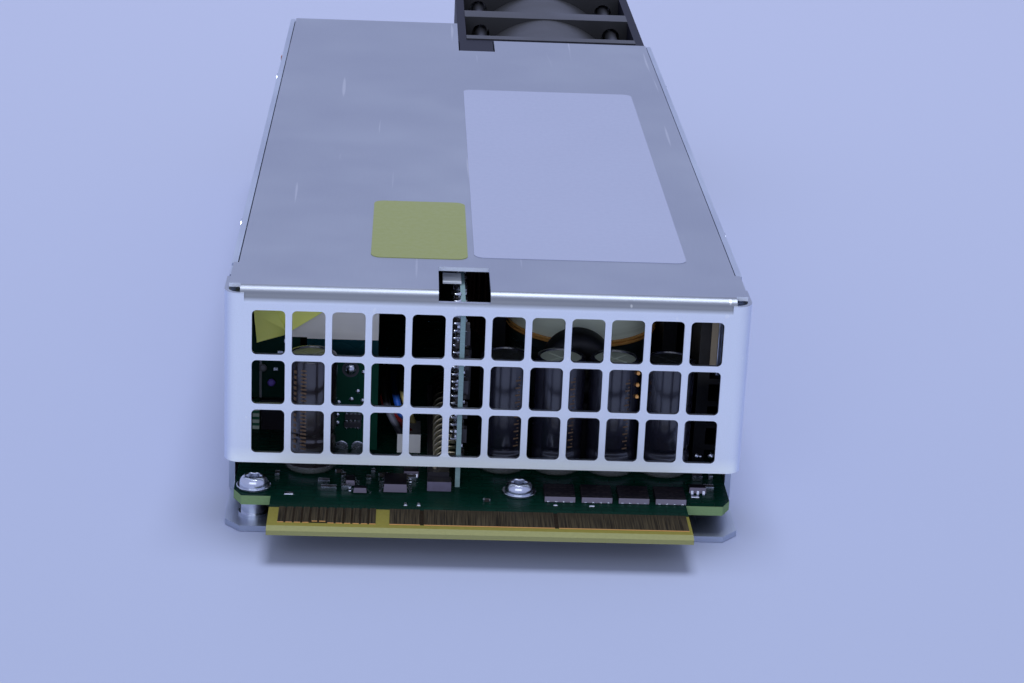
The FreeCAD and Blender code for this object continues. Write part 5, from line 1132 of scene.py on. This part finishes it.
# ---------------------------------------------------------------- plug and its wires
# Moulded nylon, with four sleeved wires that leave its top, bend back over the board and go
# straight down into it.
nylon = Finish("nylon", (0.62, 0.62, 0.68), 0.42)
# Painted shade: the plug's top faces are painted dark.
on_top = nylon.remap(nylon.facing("Z"), 0.4, 0.9)
nylon.give("Base Color", nylon.mixed(on_top, nylon.shaded(nylon.noise(200), 0.06), (0.05, 0.05, 0.06)))
nylon.bump(nylon.noise(2200), 0.008 * MM)
dress("wire_plug", nylon.material)
wire_routes = {
    "grey": ((0.13, 0.13, 0.18), [
        (-13.6, 16.3, 8.6), (-15.6, 17.2, 11.4), (-16.6, 18.5, 14.2), (-16.9, 20.5, 16.4), (-16.9, 23.6, 17.2),
        (-16.8, 28.1, 16.8), (-16.6, 31.9, 15.8), (-16.4, 34.9, 13.9), (-16.2, 36.7, 10.7), (-16.1, 37.4, 7.9),
        (-16.1, 37.4, 5.7)]),
    "blue": ((0.03, 0.16, 0.80), [
        (-13.2, 20.1, 8.6), (-14.2, 20.8, 11.4), (-14.9, 22, 13.8), (-15.4, 23.9, 15.4), (-15.5, 26.6, 15.9),
        (-15.2, 30.6, 15.5), (-14.9, 34, 14.7), (-14.6, 36.6, 13), (-14.4, 38.2, 10.1), (-14.3, 38.8, 7.7),
        (-14.3, 38.8, 5.7)]),
    "yellow": ((0.95, 0.78, 0.34), [
        (-11.6, 21.2, 8.6), (-12.7, 21.9, 11.2), (-13.5, 23.3, 13.3), (-13.9, 25.4, 14.6), (-14, 28.2, 15),
        (-13.7, 31.9, 14.7), (-13.4, 35, 13.9), (-13.1, 37.3, 12.4), (-12.8, 38.9, 9.7), (-12.7, 39.4, 7.5),
        (-12.7, 39.4, 5.7)]),
    "red": ((0.42, 0.03, 0.03), [
        (-12.1, 17.5, 8.6), (-14.2, 18.7, 10.2), (-15.7, 20.3, 11.2), (-16.7, 22.5, 11.8), (-17.1, 25.3, 12),
        (-17.2, 29, 12), (-17.1, 32.1, 11.5), (-17, 34.2, 9.7), (-16.9, 35, 7.5), (-16.9, 35, 5.7)]),
}
for colour, (shade, route) in wire_routes.items():
    line = bpy.data.curves.new(f"{colour}_wire", "CURVE")
    line.dimensions = "3D"
    line.bevel_depth = 0.6 * MM
    line.bevel_resolution = 4
    line.resolution_u = 8
    line.use_fill_caps = True
    spline = line.splines.new("NURBS")
    spline.points.add(len(route) - 1)
    for point, place in zip(spline.points, route):
        point.co = (*(Vector(place) * MM), 1.0)
    spline.order_u = 3
    spline.use_endpoint_u = True
    rubber = Finish(f"{colour}_sleeve", shade, 0.32)
    # Painted shade: each wire is painted near black towards the back, high up and low near the plug, and loses
    # its gloss there.
    wire_shade = rubber.math("MAXIMUM", rubber.remap(rubber.axis("Y"), 0.0245, 0.0265), rubber.math(
        "MAXIMUM", rubber.remap(rubber.axis("Z"), 0.0130, 0.0140),
        rubber.remap(rubber.axis("Z"), 0.0112, 0.0102, 0.0, 0.9)))
    unshaded_rubber = rubber.shaded(rubber.noise(160), 0.12)
    rubber.give("Base Color", rubber.mixed(wire_shade, unshaded_rubber, tuple(c * 0.006 for c in shade)))
    rubber.give("Specular IOR Level", rubber.remap(wire_shade, 0.0, 1.0, 0.5, 0.04))
    rubber.bump(rubber.noise(1800), 0.01 * MM)
    line.materials.append(rubber.material)
    wire = bpy.data.objects.new(f"{colour}_wire", line)
    bpy.context.scene.collection.objects.link(wire)
    mount(wire, f"wire_{colour}", f"wire_{colour}")

# ---------------------------------------------------------------- labels
# Two bare stickers on the cover, a white one of coated paper and a yellow one of vinyl.
cover_top = extent("top_cover")[1].z


def sticker(name, left, right, near, far, colour, roughness, radius=1.8, thickness=0.09):
    """Thin sheet with rounded corners that lies on the cover."""
    shape = bmesh.new()
    points = []
    for x, y, start in ((right - radius, far - radius, 0), (left + radius, far - radius, 90),
                        (left + radius, near + radius, 180), (right - radius, near + radius, 270)):
        for step in range(9):
            angle = math.radians(start + step * 90 / 8)
            place = Vector((x + radius * math.cos(angle), y + radius * math.sin(angle), cover_top))
            points.append(shape.verts.new(place * MM))
    face = shape.faces.new(points)
    made = bmesh.ops.extrude_face_region(shape, geom=[face])
    bmesh.ops.translate(shape, verts=[v for v in made["geom"] if isinstance(v, bmesh.types.BMVert)],
                        vec=(0, 0, thickness * MM))
    bmesh.ops.recalc_face_normals(shape, faces=shape.faces)
    finish = Finish(name + "_sheet", colour, roughness)
    fibre = finish.noise(900, 3.0)
    wave = finish.noise(30, 2.0)
    finish.give("Base Color", finish.shaded(wave, 0.03))
    finish.give("Roughness", finish.remap(fibre, 0.3, 0.7, roughness - 0.05, roughness + 0.05))
    finish.bump(fibre, 0.01 * MM)
    mount(show(name, shape, finish.material), "tape_pale")


sticker("white_sticker", -2.2, 34.0, 19.4, 138.0, (0.32, 0.345, 0.515), 0.4)
sticker("yellow_sticker", -19.7, -3.3, 18.2, 51.8, (0.225, 0.25, 0.062), 0.35)

# ---------------------------------------------------------------- stage, light and camera
# Pale floor, a soft sky, two large soft lamps before the object and a small one over it; the
# camera looks down at the card edge end.
floor_size = 8.0
floor_mesh = bmesh.new()
bmesh.ops.create_grid(floor_mesh, x_segments=1, y_segments=1, size=floor_size / 2)
bmesh.ops.translate(floor_mesh, verts=floor_mesh.verts, vec=(0, 0, -0.05 * MM))
floor_finish = Finish("floor_paper", (0.355, 0.395, 0.59), 0.6)
# Painted light: the floor is painted lighter towards the back.
far = floor_finish.remap(floor_finish.axis("Y"), -0.12, 0.45)
near_paper = floor_finish.shaded(floor_finish.noise(6, 2.0), 0.015)
floor_finish.give("Base Color", floor_finish.mixed(far, near_paper, (0.455, 0.485, 0.70)))
floor = show("floor", floor_mesh, floor_finish.material)

world = bpy.data.worlds.new("studio")
bpy.context.scene.world = world
world.use_nodes = True
sky = world.node_tree
background = sky.nodes["Background"]
background.inputs["Color"].default_value = (0.80, 0.87, 1.0, 1)
background.inputs["Strength"].default_value = 0.40
seen = sky.nodes.new("ShaderNodeBackground")
seen.inputs["Color"].default_value = (0.41, 0.46, 0.73, 1)
rays = sky.nodes.new("ShaderNodeLightPath")
direct = rays.outputs["Is Camera Ray"]
for kind in ("Is Glossy Ray", "Is Transmission Ray"):
    either = sky.nodes.new("ShaderNodeMath")
    either.operation = "MAXIMUM"
    sky.links.new(direct, either.inputs[0])
    sky.links.new(rays.outputs[kind], either.inputs[1])
    direct = either.outputs[0]
choice = sky.nodes.new("ShaderNodeMixShader")
sky.links.new(direct, choice.inputs[0])
sky.links.new(background.outputs[0], choice.inputs[1])
sky.links.new(seen.outputs[0], choice.inputs[2])
sky.links.new(choice.outputs[0], sky.nodes["World Output"].inputs[0])


def lamp(name, at, towards, size, power, colour=(0.86, 0.92, 1.0)):
    """Soft rectangular lamp that points at a place; both places are in metres."""
    light = bpy.data.lights.new(name, "AREA")
    light.shape = "RECTANGLE"
    light.size, light.size_y = size
    light.energy = power
    light.color = colour
    holder = bpy.data.objects.new(name, light)
    bpy.context.scene.collection.objects.link(holder)
    holder.location = at
    holder.rotation_euler = (Vector(towards) - Vector(at)).to_track_quat("-Z", "Y").to_euler()
    return holder


front_softbox = lamp("front_softbox", (-0.10, -1.25, 0.34), (0, 0, 0.02), (1.3, 0.5), 6.0)
front_softbox.visible_glossy = False
lamp("raised_softbox", (-0.15, -0.98, 0.80), (0, 0, 0.02), (1.2, 0.6), 2.5)
lamp("high_softbox", (0.05, 0.34, 1.35), (0, 0.05, 0), (0.6, 0.6), 13.0)

lens_focus = 2400.0
picture_width = 1024.0
pitch, yaw, roll = (math.radians(v) for v in (19.692, -2.838, 2.519))
right = Vector((math.cos(yaw), math.sin(yaw), 0))
upward = Vector((-math.sin(yaw) * math.sin(pitch), math.cos(yaw) * math.sin(pitch), math.cos(pitch)))
forward = Vector((-math.sin(yaw) * math.cos(pitch), math.cos(yaw) * math.cos(pitch), -math.sin(pitch)))
camera = bpy.data.cameras.new("camera")
camera.sensor_width = 36.0
camera.lens = lens_focus / picture_width * camera.sensor_width
camera.clip_start = 0.01
holder = bpy.data.objects.new("camera", camera)
bpy.context.scene.collection.objects.link(holder)
side = right * math.cos(roll) + upward * math.sin(roll)
top = upward * math.cos(roll) - right * math.sin(roll)
turn = Matrix((side, top, -forward)).transposed().to_4x4()
holder.matrix_world = Matrix.Translation(Vector((-14.39, -367.62, 163.85)) * MM) @ turn
bpy.context.scene.camera = holder
bpy.context.scene.view_settings.view_transform = "Standard"
